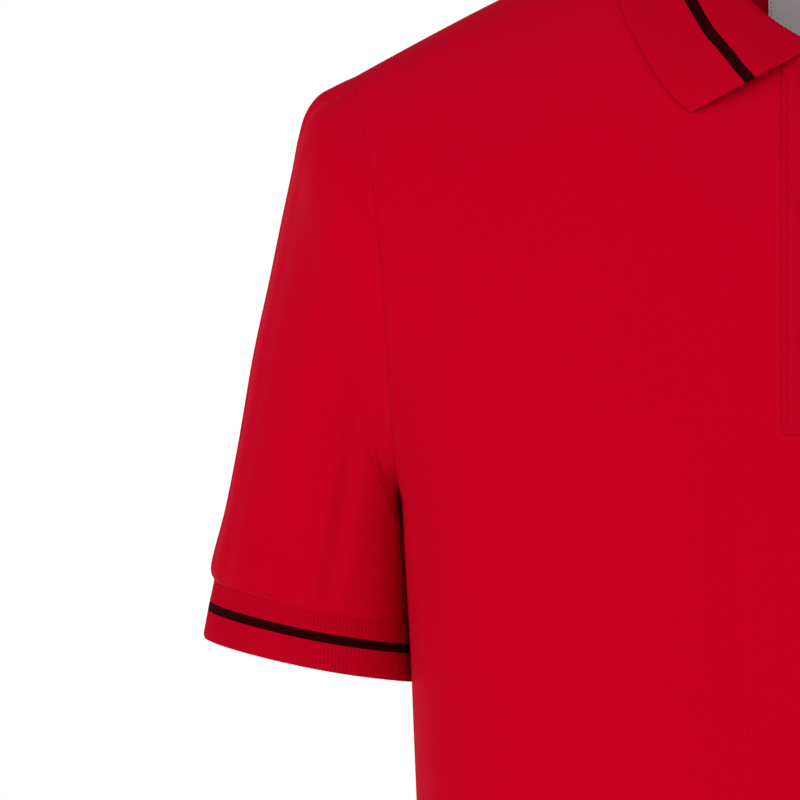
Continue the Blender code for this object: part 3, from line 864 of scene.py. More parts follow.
sleeve_plain, sleeve_steps, sleeve_angles = sleeve_grid()
sleeve_pique = pique("sleeve cotton pique", BODY_RED, BODY_RED_VALLEY_SHADE_AND_PATCH, sheen=0.14)
for name, creases, flip in (
    ("right_sleeve", RIGHT_SLEEVE_CREASES, True),
    ("left_sleeve", LEFT_SLEEVE_CREASES, False),
):
    plain = mirrored(sleeve_plain) if flip else sleeve_plain
    degrees = np.broadcast_to(np.degrees(sleeve_angles)[None, :], plain.shape[:2])
    steps = np.broadcast_to(sleeve_steps[:, None], plain.shape[:2])
    down = lengths_along(plain, 0)
    to_cuff = down[-1:] - down
    calm = smooth_step(0.0, SEAM_CALM, down) * smooth_step(0.0, CUFF_SEAM_CALM, to_cuff)
    waves = unevenness(plain, SLEEVE_WAVE_SIZE, SLEEVE_WAVE, 3)
    relief = calm * (crease_relief(creases, degrees, steps) + waves)
    relief += 0.5 * (seam_dip(down) + seam_dip(to_cuff)) + settle(degrees) * smooth_step(0.0, 3.0, steps)
    fullness = mix(SLEEVE_LEAN, CUFF_LEAN, smooth_step(9.0, 11.0, steps)) * smooth_step(0.5, 7.5, steps)
    points = raised(plain, relief + fullness * lean(degrees), around=True, flip=flip)
    mesh = cloth_mesh(name, points, cut_of_tube(plain), around=True, flip=flip)
    piece = new_piece(name, mesh, sleeve_pique)
    give_wall(piece, PIQUE_THICKNESS)
    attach(piece, "root")
    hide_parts("sleeve_right" if flip else "sleeve_left")


# Cuffs
# A flat-knit rib band on each sleeve's end, knitted to shape with its edge finished, with one fine
# black tipping stripe. Its ribs run along the arm and it is linked to the sleeve at its upper edge.

CUFF_RINGS = (
    SleeveRing(0, 0.27852, -0.29706, 0.18768, -0.31706, 0.0560, 0.024, 0.050),
    SleeveRing(1, 0.2803, -0.3070, 0.1871, -0.3265, 0.0562, 0.024, 0.050),
    SleeveRing(2, 0.2834, -0.3232, 0.1859, -0.3436, 0.0567, 0.024, 0.050),
)
RIB_THICKNESS = 0.0014
RIB_SPACING = 0.0018
RIB_HEIGHT = 0.00035
RIB_SHARPNESS = 0.8
RIB_COLUMNS = 4
CUFF_RIBS = 180
CUFF_ROWS = 20
CUFF_STRIPE_START = 0.0128
CUFF_STRIPE_END = 0.0172
CUFF_WAVE_SIZE = 0.045
CUFF_WAVE = 0.0009
CUFF_EDGE_ROLL = 0.0007
COURSE_SPACING = 0.0011
TIPPING_BLACK = "280406"
RIB_RED = "c00222"
RIB_RED_DEEP = "b6021f"


def maker_tree(name, **inputs):
    """A geometry tree for one modifier, with its named inputs, and what they give."""
    tree = bpy.data.node_groups.new(name, "GeometryNodeTree")
    tree.is_modifier = True
    for label, kind in {"Geometry": "Geometry", **inputs}.items():
        tree.interface.new_socket(label.replace("_", " "), in_out="INPUT", socket_type="NodeSocket" + kind)
    tree.interface.new_socket("Geometry", in_out="OUTPUT", socket_type="NodeSocketGeometry")
    return tree, add_node(tree, "NodeGroupInput").outputs


def finish_tree(tree, made, material):
    """Make what a tree built real and smooth, give it its material and put it out."""
    real = add_node(tree, "GeometryNodeRealizeInstances", links={0: made})
    smooth = add_node(tree, "GeometryNodeSetShadeSmooth", links={0: real.outputs[0]})
    dyed = add_node(tree, "GeometryNodeSetMaterial", links={
        "Geometry": smooth.outputs[0], "Material": material})
    add_node(tree, "NodeGroupOutput", links={0: dyed.outputs[0]})
    return tree


def rib_tree():
    """Geometry nodes that raise an open surface in ribs, along the count that its points hold."""
    tree, given = maker_tree("rib relief", Rib_height="Float", Rib_sharpness="Float", Yarn="Material")
    count = add_node(tree, "GeometryNodeInputNamedAttribute", {"data_type": "FLOAT", "Name": "wale"})
    turns = math_node(tree, "MULTIPLY", count.outputs[0], 2 * math.pi)
    wave = math_node(tree, "COSINE", turns)
    lifted = math_node(tree, "MULTIPLY_ADD", wave, 0.5, 0.5)
    round_top = math_node(tree, "POWER", lifted, given["Rib sharpness"])
    height = math_node(tree, "MULTIPLY", round_top, given["Rib height"])
    normal = add_node(tree, "GeometryNodeInputNormal").outputs[0]
    offset = add_node(tree, "ShaderNodeVectorMath", {"operation": "SCALE"}, {0: normal, "Scale": height})
    moved = add_node(tree, "GeometryNodeSetPosition", links={
        "Geometry": given["Geometry"], "Offset": offset.outputs[0]})
    return finish_tree(tree, moved.outputs[0], given["Yarn"])


def keep_modified(piece, modifier):
    """Keep what a modifier makes of a piece as its plain mesh, and take the modifier off."""
    bpy.context.view_layer.update()
    made = bpy.data.meshes.new_from_object(piece.evaluated_get(bpy.context.evaluated_depsgraph_get()))
    piece.modifiers.remove(modifier)
    plain = piece.data
    piece.data = made
    made.name = piece.name
    bpy.data.meshes.remove(plain)
    return made


def made_by_nodes(piece, tree, values):
    """Run a geometry tree on a piece with its inputs by name, and keep the result as a plain mesh."""
    maker = piece.modifiers.new("Maker", "NODES")
    maker.node_group = tree
    for item in tree.interface.items_tree:
        if item.item_type == "SOCKET" and item.in_out == "INPUT" and item.name in values:
            maker[item.identifier] = values[item.name]
    keep_modified(piece, maker)


def rib_knit(name, hex_code, stripe_start, stripe_end, sheen):
    """Flat-knit cotton rib, yarn dyed: a soft matt band of slightly uneven red, with a black stripe.

    The stripe is courses of black yarn, so its edges step by one stitch where the colour changes.
    """
    material, tree, shader = new_material(name, cotton_finish(sheen))
    cut, parts = cut_place(tree)
    wale = math_node(tree, "PINGPONG", parts[0], RIB_SPACING / 4)
    wobble = math_node(tree, "MULTIPLY_ADD", wale, 0.5, parts[1])
    course = math_node(tree, "MULTIPLY", wobble, 2 * math.pi / COURSE_SPACING)
    stitch = math_node(tree, "SINE", course)
    fuzz = patches(tree, cut, 1 / FUZZ_SIZE, 2.0)
    emboss(tree, shader, math_node(tree, "MULTIPLY_ADD", fuzz, 0.5, stitch), 0.5, 0.00012)
    worn = patches(tree, cut, 12.0, 3.0)
    red = two_tone(tree, worn, (0.3, linear(RIB_RED_DEEP)), (0.7, linear(hex_code)))
    above = math_node(tree, "GREATER_THAN", wobble, stripe_start)
    below = math_node(tree, "LESS_THAN", wobble, stripe_end)
    inside = math_node(tree, "MULTIPLY", above, below)
    colour = add_node(
        tree, "ShaderNodeMix", {"data_type": "RGBA", 7: linear(TIPPING_BLACK)},
        {0: inside, 6: red})
    tree.links.new(colour.outputs[2], shader.inputs["Base Color"])
    return material


def give_wales(mesh, counts):
    """Store on each point how many ribs lie between it and the first one."""
    wales = mesh.attributes.new("wale", "FLOAT", "POINT")
    wales.data.foreach_set("value", np.array(counts, dtype=np.float32))


def raise_ribs(piece, yarn):
    """Raise the ribs of a piece that is given in its own yarn."""
    made_by_nodes(piece, ribbing, {"Rib height": RIB_HEIGHT, "Rib sharpness": RIB_SHARPNESS, "Yarn": yarn})


ribbing = rib_tree()
cuff_rib = rib_knit("cuff flat-knit rib", RIB_RED, CUFF_STRIPE_START, CUFF_STRIPE_END, sheen=0.14)
cuff_angles = np.arange(CUFF_RIBS * RIB_COLUMNS) * 2 * math.pi / (CUFF_RIBS * RIB_COLUMNS)
cuff_plain = np.array([
    ring_points(ring_between(CUFF_RINGS, step), cuff_angles)
    for step in np.linspace(0, CUFF_RINGS[-1].step, CUFF_ROWS + 1)
])
for name, flip in (("right_cuff", True), ("left_cuff", False)):
    plain = mirrored(cuff_plain) if flip else cuff_plain
    down = lengths_along(plain, 0)
    to_hem = down[-1:] - down
    waves = unevenness(plain, CUFF_WAVE_SIZE, CUFF_WAVE, 5) * smooth_step(0, 0.012, down)
    fullness = settle(np.degrees(cuff_angles)) + CUFF_LEAN * lean(np.degrees(cuff_angles))
    relief = waves - 0.6 * RIB_HEIGHT + fullness + edge_roll(to_hem, CUFF_EDGE_ROLL, HEM_ROLL_REACH)
    points = raised(plain, relief, around=True, flip=flip)
    cut = cut_of_tube(plain)
    cut[..., 1] += down.mean(axis=1)[-1]
    mesh = cloth_mesh(name, points, cut, around=True, flip=flip)
    give_wales(mesh, np.tile(np.arange(plain.shape[1]) / RIB_COLUMNS, len(plain)))
    piece = new_piece(name, mesh, cuff_rib)
    raise_ribs(piece, cuff_rib)
    give_wall(piece, RIB_THICKNESS)
    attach(piece, "root")
    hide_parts("cuff_right" if flip else "cuff_left")


# Collar
# One flat-knit rib piece with a finished edge, linked to the neck seam. It stands up inside, rolls
# over and falls onto the shoulders, with a black tipping stripe across the middle of its fall.

COLLAR_STAND_END = 0.0037
COLLAR_STAND_QUICK = 0.0180
COLLAR_STAND_REACH = 0.030
COLLAR_STAND_SLOPE = 0.055
COLLAR_LEAN = 0.65
COLLAR_ROLL = 0.0030
COLLAR_LIFT = 0.0045
COLLAR_FRONT_DROOP = 0.0034
COLLAR_FRONT_STAND_OFF = 0.0036
COLLAR_FRONT_REACH = 0.024
COLLAR_EDGE_CLEAR = 0.0010
COLLAR_END_GAP = 0.0006
COLLAR_FOOT_RAISE = 0.0011
CAD_RIB = 0.0018
NECK_AXIS_Y = -0.012
COLLAR_RIBS = 210
STAND_STEPS = 6
ROLL_STEPS = 8
FALL_STEPS = 28
COLLAR_STRIPE_START = 0.0278
COLLAR_STRIPE_END = 0.0331
EDGE_TILT_OUT = 0.45
EDGE_TILT_FORWARD = 1.6
COLLAR_WAVE_SIZE = 0.035
COLLAR_WAVE = 0.0007
COLLAR_EDGE_ROLL = 0.0006
COLLAR_ROLL_REACH = 0.0018
COLLAR_RED = "c20223"
COLLAR_PULL = 0.0018
COLLAR_PULL_PLACE = 0.014
COLLAR_PULL_SPREAD = 0.010


class CollarEdge(NamedTuple):
    """The fall's outer edge: share of its length from the point, and its place over the shoulder."""

    share: float
    across: float
    degrees: float


COLLAR_EDGE = (
    CollarEdge(0.000, 0.0550, 49.9),
    CollarEdge(0.041, 0.0626, 47.6),
    CollarEdge(0.080, 0.0684, 45.1),
    CollarEdge(0.128, 0.0740, 41.8),
    CollarEdge(0.192, 0.0808, 36.8),
    CollarEdge(0.235, 0.0850, 33.1),
    CollarEdge(0.273, 0.0875, 29.6),
    CollarEdge(0.507, 0.0975, 0.0),
    CollarEdge(0.600, 0.0925, -13.0),
    CollarEdge(0.700, 0.0770, -21.5),
    CollarEdge(0.800, 0.0535, -25.5),
    CollarEdge(1.000, 0.0000, -27.5),
)


def neck_seam_points(count):
    """Left half of the neck seam in even steps, from the centre front to the centre back."""
    places = np.linspace(0.0, NECK_HALF, 60)
    front = [panel_point(FRONT, across, 1.0) for across in places]
    back = [panel_point(BACK, across, 1.0) for across in places[-2::-1]]
    front[-1].y = 0.0
    front[0].x = COLLAR_END_GAP
    line = np.array(front + back)
    run = run_along(line)
    even = np.linspace(0.0, run[-1], count + 1)
    return [Vector([np.interp(at, run, line[:, axis]) for axis in range(3)]) for at in even], even


def collar_edge_point(share, moved_out):
    """Point of the fall's outer edge, held off the shoulder."""
    across = table_value(COLLAR_EDGE, "share", "across", share)
    degrees = table_value(COLLAR_EDGE, "share", "degrees", share)
    angle = math.radians(abs(degrees))
    side = FRONT if degrees > 0 else BACK
    point = shoulder_point(side, across, angle, 1 - angle / HALF_PI)
    tilt = side * math.sin(angle) * EDGE_TILT_FORWARD
    normal = Vector((EDGE_TILT_OUT * across / NECK_HALF, tilt, math.cos(angle)))
    return point + normal.normalized() * moved_out


def collar_section(seam, share, arc):
    """Points across the collar: up the stand by the neck, over the roll and down the fall."""
    inward = Vector((-seam.x, NECK_AXIS_Y - seam.y, 0)).normalized()
    rise = (Vector((0, 0, 1)) + inward * COLLAR_LEAN).normalized()
    out = (Vector((0, 0, COLLAR_LEAN)) - inward).normalized()
    quick_rise = COLLAR_STAND_QUICK * (1 - math.exp(-arc / COLLAR_STAND_REACH))
    height = COLLAR_STAND_END + quick_rise + COLLAR_STAND_SLOPE * arc
    foot = seam - out * (SEAM_GAP + CAD_RIB) + rise * COLLAR_FOOT_RAISE
    section = [foot + rise * (height - COLLAR_ROLL) * i / STAND_STEPS for i in range(STAND_STEPS + 1)]
    centre = section[-1] + out * COLLAR_ROLL
    edge = collar_edge_point(share, COLLAR_EDGE_CLEAR + CAD_RIB)
    reach = edge - centre
    fall_slope = math.atan2(-reach.dot(rise), reach.dot(out))
    turn_end = HALF_PI - min(max(fall_slope, math.radians(15)), math.radians(80))
    for i in range(1, ROLL_STEPS + 1):
        angle = mix(math.pi, turn_end, i / ROLL_STEPS)
        section.append(centre + (out * math.cos(angle) + rise * math.sin(angle)) * COLLAR_ROLL)
    start = section[-1]
    lift_way = (out * math.cos(turn_end) + rise * math.sin(turn_end)).normalized()
    front_lift = Vector((0, -COLLAR_FRONT_STAND_OFF, -COLLAR_FRONT_DROOP))
    front_lift *= math.exp(-arc / COLLAR_FRONT_REACH)
    for i in range(1, FALL_STEPS + 1):
        t = i / FALL_STEPS
        section.append(start.lerp(edge, t) + (lift_way * COLLAR_LIFT + front_lift) * (4 * t * (1 - t)))
    return section


half_stations = COLLAR_RIBS * RIB_COLUMNS // 2
seam_stations, seam_run = neck_seam_points(half_stations)
collar_left = np.array([
    collar_section(seam, arc / seam_run[-1], arc) for seam, arc in zip(seam_stations, seam_run)
])
collar_plain = np.concatenate((collar_left, mirrored(collar_left[-2::-1])))
collar_in = lengths_along(collar_plain, 1)
from_edge = collar_in[:, -1:] - collar_in
from_ends = np.minimum(lengths_along(collar_plain, 0), lengths_along(collar_plain, 0)[::-1])
collar_waves = unevenness(collar_plain, COLLAR_WAVE_SIZE, COLLAR_WAVE, 6) * smooth_step(0.0, 0.02, from_ends)
collar_roll = edge_roll(np.minimum(from_edge, from_ends), COLLAR_EDGE_ROLL, COLLAR_ROLL_REACH)
collar_points = raised(collar_plain, collar_waves + collar_roll - RIB_HEIGHT)
collar_run = np.concatenate((seam_run, 2 * seam_run[-1] - seam_run[-2::-1])) - seam_run[-1]
# Beside each point the knit is pulled a little away from its edge, and the stripe with it
from_point = seam_run[-1] - np.abs(collar_run)
collar_pull = COLLAR_PULL * bell(from_point - COLLAR_PULL_PLACE, COLLAR_PULL_SPREAD)
collar_cut = np.dstack((
    np.broadcast_to(collar_run[:, None], from_edge.shape), from_edge - collar_pull[:, None]))
collar_rib = rib_knit("collar flat-knit rib", COLLAR_RED, COLLAR_STRIPE_START, COLLAR_STRIPE_END, sheen=0.10)
collar_mesh = cloth_mesh("folded_collar", collar_points, collar_cut)
collar_wales = np.arange(len(collar_points)) / RIB_COLUMNS
give_wales(collar_mesh, np.repeat(collar_wales, collar_points.shape[1]))
folded_collar = new_piece("folded_collar", collar_mesh, collar_rib)
raise_ribs(folded_collar, collar_rib)
give_wall(folded_collar, RIB_THICKNESS)
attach(folded_collar, "root")
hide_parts("collar")


# Placket
# Two bands of the body's pique over a fused lining: the top band, with the buttonholes, is edge
# stitched down both sides and boxed at its foot, and the under band behind it carries the buttons.

BAND_HALF = 0.0148
BAND_THICKNESS = 0.0013
BAND_ROLL = 0.0013
BAND_ROLL_DROP = 0.0009
BAND_WAVE_SIZE = 0.03
BAND_WAVE = 0.0004
BAND_CALM = 0.004
BAND_GROOVE = 0.0003
BAND_GROOVE_WIDTH = 0.0009
BUTTON_PULL = 0.0005
BUTTON_PULL_REACH = 0.008
BAND_STITCH_IN = 0.0022
BOX_STITCH_UP = 0.0120
BAND_PLACES = (-1.0, -0.985, -0.955, -0.915, -0.885, -0.8514, -0.815, -0.76, -0.6, -0.4, -0.2)
EDGE_STITCH_COLUMN = BAND_PLACES.index(-0.8514)
BUTTON_HEIGHTS = (-0.0772, -0.1345, -0.1920)


def panel_normal(side, across, climb):
    """Outward direction of the upper torso's plain surface."""
    step = 0.0005
    near = max(climb - 0.01, 0.0)
    far = min(climb + 0.01, 1.0)
    sideways = panel_point(side, across + step, climb) - panel_point(side, across - step, climb)
    upward = panel_point(side, across, far) - panel_point(side, across, near)
    normal = sideways.cross(upward).normalized()
    return normal if normal.y * side > 0 else -normal


def lying_grid(side, climbs, places, moved_out):
    """Points of a strip that lies on a panel, with the panel's own outward directions."""
    points = [[panel_point(side, x, climb) for x in places] for climb in climbs]
    normals = np.array([[panel_normal(side, x, climb) for x in places] for climb in climbs])
    return np.array(points) + normals * moved_out, normals


def strip_cut(across, points):
    """Coordinates on a straight strip's flat cut, in metres: across it as given and up its length."""
    up = lengths_along(points, 0)
    return np.dstack((np.broadcast_to(across, up.shape), up))


def band_relief(points, foot_up):
    """A folded edge down each side, a groove under each line of stitches and a pull at each button."""
    from_edge = BAND_HALF - np.abs(points[..., 0])
    rolled = (1 - np.clip(from_edge / BAND_ROLL, 0, 1)) ** 2 + (1 - np.clip(foot_up / BAND_ROLL, 0, 1)) ** 2
    relief = -BAND_ROLL_DROP * np.minimum(rolled, 1.0)
    relief -= BAND_GROOVE * bell(from_edge - BAND_STITCH_IN, BAND_GROOVE_WIDTH)
    for up in (BAND_STITCH_IN, BOX_STITCH_UP):
        relief -= BAND_GROOVE * bell(foot_up - up, BAND_GROOVE_WIDTH)
    for height in BUTTON_HEIGHTS:
        away = np.hypot(points[..., 0], points[..., 2] - height)
        relief -= BUTTON_PULL * bell(away, BUTTON_PULL_REACH)
    waves = unevenness(points, BAND_WAVE_SIZE, BAND_WAVE, 7)
    return relief + waves * smooth_step(0.0, BAND_CALM, from_edge)


# Its second red, b80221, is painted shade in the knit's valleys and the dark end of random patches of tone.
placket_pique = pique("placket cotton pique", "c00223", "b80221", sheen=0.10)
band_climbs = []
foot_climb = climb_at(FRONT, PLACKET_BOTTOM)
for low, high in zip(climb_rows(FRONT)[4:], climb_rows(FRONT)[5:]):
    band_climbs += [mix(low, high, i / 3) for i in range(3)]
band_climbs = [mix(foot_climb, band_climbs[1], t) for t in (0, 0.08, 0.2, 0.4, 0.7)] + band_climbs[1:] + [1.0]
half_places = [BAND_HALF * place for place in BAND_PLACES]
band_across = half_places + [0.0] + [-place for place in reversed(half_places)]
band_plain, band_normals = lying_grid(FRONT, band_climbs, band_across, SEAM_GAP + CAD_CLOTH)
band_up = lengths_along(band_plain, 0)
band_points = band_plain + band_normals * band_relief(band_plain, band_up)[..., None]
band_mesh = cloth_mesh("placket_band", band_points, strip_cut(band_across, band_plain))
placket_band = new_piece("placket_band", band_mesh, placket_pique)
give_wall(placket_band, BAND_THICKNESS)
under_climbs = [mix(foot_climb, 0.985, i / 40) for i in range(41)]
under_points = lying_grid(FRONT, under_climbs, band_across, -(SEAM_GAP + CAD_CLOTH))[0]
under_mesh = cloth_mesh("placket_underband", under_points, strip_cut(band_across, under_points))
placket_underband = new_piece("placket_underband", under_mesh, placket_pique)
give_wall(placket_underband, BAND_THICKNESS)
for piece, node, length in (
    (placket_band, "placket_top", 0.178),
    (placket_underband, "placket_under", 0.174),
):
    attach(piece, "root")
    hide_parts(node)


# Neck label
# A small blank label of pale woven satin, sewn inside the back neck along its edges.

LABEL_HALF = 0.0219
LABEL_CLIMBS = (0.74, 0.96)
LABEL_CLOTH = 0.0005
LABEL_SINK = 2 * SEAM_GAP + CAD_CLOTH
LABEL_WAVE_SIZE = 0.014
LABEL_WAVE = 0.0005
SATIN_PICK = 0.0009


def woven_satin(name, hex_code):
    """Woven polyester satin: a smooth pale face, grey in the collar's shade, with fine weft lines."""
    material, tree, shader = new_material(name, {
        "Roughness": 0.42, "IOR": 1.55, "Specular IOR Level": 0.45, "Sheen Weight": 0.08})
    cut, parts = cut_place(tree)
    pick = math_node(tree, "SINE", math_node(tree, "MULTIPLY", parts[1], 2 * math.pi / SATIN_PICK))
    slub = patches(tree, cut, 900.0, 2.0)
    emboss(tree, shader, math_node(tree, "MULTIPLY_ADD", slub, 0.6, pick), 0.4, 0.00006)
    weft = math_node(tree, "MULTIPLY_ADD", pick, 0.25, 0.5)
    colour = two_tone(tree, weft, (0.0, linear("ecebf0")), (1.0, linear(hex_code)))
    tree.links.new(colour, shader.inputs["Base Color"])
    return material


label_satin = woven_satin("label woven satin", "fbfafd")
label_climbs = np.linspace(*LABEL_CLIMBS, 25)
label_across = np.linspace(-LABEL_HALF, LABEL_HALF, 37)
label_plain, label_normals = lying_grid(BACK, label_climbs, label_across, -LABEL_SINK)
label_relief = -SEAM_GAP - unevenness(label_plain, LABEL_WAVE_SIZE, LABEL_WAVE, 8)
label_points = label_plain + label_normals * label_relief[..., None]
label_mesh = cloth_mesh("blank_label", label_points, strip_cut(label_across, label_points), flip=True)
blank_label = new_piece("blank_label", label_mesh, label_satin)
give_wall(blank_label, LABEL_CLOTH)
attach(blank_label, "root")
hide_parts("neck_label")


# Stitches
# Red lockstitch along the placket's edges and its boxed foot, a twin-needle hem, grey stitches round
# the label, and close zigzag stitches round each buttonhole.

STITCH_LENGTH = 0.0029
STITCH_FILL = 0.40
THREAD_RADIUS = 0.00026
LABEL_STITCH_LENGTH = 0.0022
LABEL_THREAD_RADIUS = 0.0002
STITCH_SIDES = 6
STITCH_RINGS = 5


def stitch_tree():
    """Geometry nodes that lay even stitches, like grains of rice, along the edges of a mesh."""
    tree, given = maker_tree(
        "row of stitches",
        Stitch_length="Float", Stitch_fill="Float", Thread_radius="Float", Thread="Material")
    line = add_node(tree, "GeometryNodeMeshToCurve", links={0: given["Geometry"]})
    spots = add_node(tree, "GeometryNodeCurveToPoints", {"mode": "LENGTH"}, {
        "Curve": line.outputs[0], "Length": given["Stitch length"]})
    grain = add_node(tree, "GeometryNodeMeshUVSphere", {
        "Segments": STITCH_SIDES, "Rings": STITCH_RINGS, "Radius": 1.0})
    half = math_node(tree, "MULTIPLY", given["Stitch length"], given["Stitch fill"])
    size = add_node(tree, "ShaderNodeCombineXYZ", links={
        0: given["Thread radius"], 1: given["Thread radius"], 2: half})
    laid = add_node(tree, "GeometryNodeInstanceOnPoints", links={
        "Points": spots.outputs["Points"], "Instance": grain.outputs["Mesh"],
        "Rotation": spots.outputs["Rotation"], "Scale": size.outputs[0]})
    return finish_tree(tree, laid.outputs[0], given["Thread"])


def thread_tree():
    """Geometry nodes that run a round thread along the edges of a mesh."""
    tree, given = maker_tree("running thread", Thread_radius="Float", Thread="Material")
    line = add_node(tree, "GeometryNodeMeshToCurve", links={0: given["Geometry"]})
    ring = add_node(tree, "GeometryNodeCurvePrimitiveCircle", {"Resolution": STITCH_SIDES}, {
        "Radius": given["Thread radius"]})
    tube = add_node(tree, "GeometryNodeCurveToMesh", {"Fill Caps": True}, {
        "Curve": line.outputs[0], "Profile Curve": ring.outputs[0]})
    return finish_tree(tree, tube.outputs[0], given["Thread"])


def thread(name, hex_code, shine):
    """Spun polyester sewing thread: a fine twisted strand with a low silky shine of its own colour."""
    material, tree, shader = new_material(name, {
        "Roughness": 0.6, "Specular IOR Level": 0.2, "Specular Tint": linear(shine)})
    twist = patches(tree, add_node(tree, "ShaderNodeTexCoord").outputs["Object"], 2500.0, 1.0)
    emboss(tree, shader, twist, 0.4, 0.0001)
    shaded = [channel * 0.85 for channel in linear(hex_code)[:3]] + [1.0]
    colour = two_tone(tree, twist, (0.3, shaded), (0.6, linear(hex_code)))
    tree.links.new(colour, shader.inputs["Base Color"])
    return material


def line_mesh(name, lines):
    """Mesh of open lines of points, edges only."""
    mesh = bpy.data.meshes.new(name)
    points = []
    edges = []
    for line in lines:
        start = len(points)
        points += [tuple(map(float, point)) for point in line]
        edges += [(start + i, start + i + 1) for i in range(len(line) - 1)]
    mesh.from_pydata(points, edges, [])
    return mesh


def sewn(name, lines, material, tree, values):
    """Sew lines of points on with a geometry tree, as a piece of the given name."""
    piece = new_piece(name, line_mesh(name, lines), material)
    made_by_nodes(piece, tree, {**values, "Thread": material})
    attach(piece, "root")
    return piece


stitching = stitch_tree()
running = thread_tree()
red_thread = thread("red sewing thread", "c4021f", shine="f04058")
grey_thread = thread("grey sewing thread", "8f8d96", shine="ffffff")
stitch_sizes = {"Stitch length": STITCH_LENGTH, "Stitch fill": STITCH_FILL, "Thread radius": THREAD_RADIUS}

hem_lines = []
for points, normals in ((front_points, front_normals), (back_points, back_normals)):
    for row in HEM_NEEDLES:
        hem_lines.append(points[row] + normals[row] * THREAD_RADIUS * 0.5)
sewn("hem_stitches", hem_lines, red_thread, stitching, stitch_sizes)

band_up_mean = band_up.mean(axis=1)
band_lift = band_points + band_normals * THREAD_RADIUS * 0.5
foot_row = int(np.argmin(np.abs(band_up_mean - BAND_STITCH_IN)))
box_row = int(np.argmin(np.abs(band_up_mean - BOX_STITCH_UP)))
edge_columns = (EDGE_STITCH_COLUMN, band_points.shape[1] - 1 - EDGE_STITCH_COLUMN)
inner_columns = slice(edge_columns[0], edge_columns[1] + 1)
placket_lines = [band_lift[foot_row:, column] for column in edge_columns]
placket_lines += [band_lift[row, inner_columns] for row in (foot_row, box_row)]
sewn("placket_stitches", placket_lines, red_thread, stitching, stitch_sizes)

label_face = label_points - label_normals * (LABEL_CLOTH + THREAD_RADIUS * 0.5)
label_lines = [label_face[row, 1:-1] for row in (1, -2)] + [label_face[1:-1, column] for column in (1, -2)]
label_sizes = {**stitch_sizes, "Stitch length": LABEL_STITCH_LENGTH, "Thread radius": LABEL_THREAD_RADIUS}
sewn("label_stitches", label_lines, grey_thread, stitching, label_sizes)

HOLE_HALF_LENGTH = 0.0070
HOLE_BEAD_INNER = 0.0002
HOLE_BEAD_OUTER = 0.0012
HOLE_STITCHES = 64
HOLE_THREAD = 0.00019


def buttonhole_line(height):
    """Zigzag of close stitches round an upright buttonhole, on the band's own surface."""
    line = []
    for i in range(HOLE_STITCHES + 1):
        side = 1 if i <= HOLE_STITCHES / 2 else -1
        share = i / (HOLE_STITCHES / 2) if side > 0 else 2 - i / (HOLE_STITCHES / 2)
        up = height + mix(-HOLE_HALF_LENGTH, HOLE_HALF_LENGTH, share)
        climb = climb_at(FRONT, up)
        for across in (HOLE_BEAD_INNER, HOLE_BEAD_OUTER):
            lift = SEAM_GAP + CAD_CLOTH + HOLE_THREAD * (1.0 if across == HOLE_BEAD_INNER else 0.4)
            normal = panel_normal(FRONT, 0.0, climb)
            line.append(panel_point(FRONT, side * across, climb) + normal * lift)
    return line


hole_lines = [buttonhole_line(height) for height in BUTTON_HEIGHTS]
sewn("buttonhole_stitches", hole_lines, red_thread, running, {"Thread radius": HOLE_THREAD})


# Buttons
# Three cast polyester buttons, dyed red to match, turned with a raised rim and four holes, and sewn
# to the under band through the buttonholes with two bars of thread.

BUTTON_RADIUS = 0.00575
BUTTON_THICKNESS = 0.0024
BUTTON_RIM = 0.0012
BUTTON_DISH = 0.0006
BUTTON_HOLE_RADIUS = 0.00085
BUTTON_HOLE_OUT = 0.0013
BUTTON_SEGMENTS = 64
DRILL_REACH = 0.004
DRILL_SEGMENTS = 20
BUTTON_EDGE = 0.0004
BAR_STRANDS = 3
BAR_ARCH = 0.0007
BAR_SINK = 0.0009
BAR_STEPS = 12


def cast_resin(name, hex_code):
    """Cast polyester resin, polished in a tumbler: a glossy face with faint clouds under it."""
    material, tree, shader = new_material(name, {
        "Roughness": 0.28, "IOR": 1.55, "Coat Weight": 0.25, "Coat Roughness": 0.12})
    place = add_node(tree, "ShaderNodeTexCoord").outputs["Object"]
    cloud = patches(tree, place, 260.0, 4.0)
    colour = two_tone(tree, cloud, (0.3, linear("8c0419")), (0.7, linear(hex_code)))
    tree.links.new(colour, shader.inputs["Base Color"])
    emboss(tree, shader, patches(tree, place, 1500.0, 2.0), 0.15, 0.00003)
    return material


def button_profile():
    """Half section of a button, from its face's middle round to its back's."""
    half = BUTTON_THICKNESS / 2
    dish = half - BUTTON_DISH
    inside = BUTTON_RADIUS - BUTTON_RIM
    line = [(0.0, dish), (inside - 0.0010, dish), (inside - 0.0004, dish + 0.00015)]
    line += [(inside, half - 0.0001), (inside + 0.0003, half)]
    for i in range(1, 7):
        turn = math.pi * i / 7
        line.append((
            BUTTON_RADIUS - BUTTON_EDGE * (1 - math.sin(turn)),
            half * math.cos(turn),
        ))
    return line + [(inside, -half), (0.0, -half)]


def turned_mesh(name, profile, segments):
    """Closed mesh of a profile turned about the upright axis."""
    work = bmesh.new()
    verts = [work.verts.new((radius, 0.0, level)) for radius, level in profile]
    edges = [work.edges.new(pair) for pair in zip(verts, verts[1:])]
    bmesh.ops.spin(
        work, geom=verts + edges, cent=(0, 0, 0), axis=(0, 0, 1), angle=2 * math.pi, steps=segments)
    bmesh.ops.remove_doubles(work, verts=work.verts, dist=0.000005)
    bmesh.ops.recalc_face_normals(work, faces=work.faces)
    mesh = bpy.data.meshes.new(name)
    work.to_mesh(mesh)
    work.free()
    return mesh


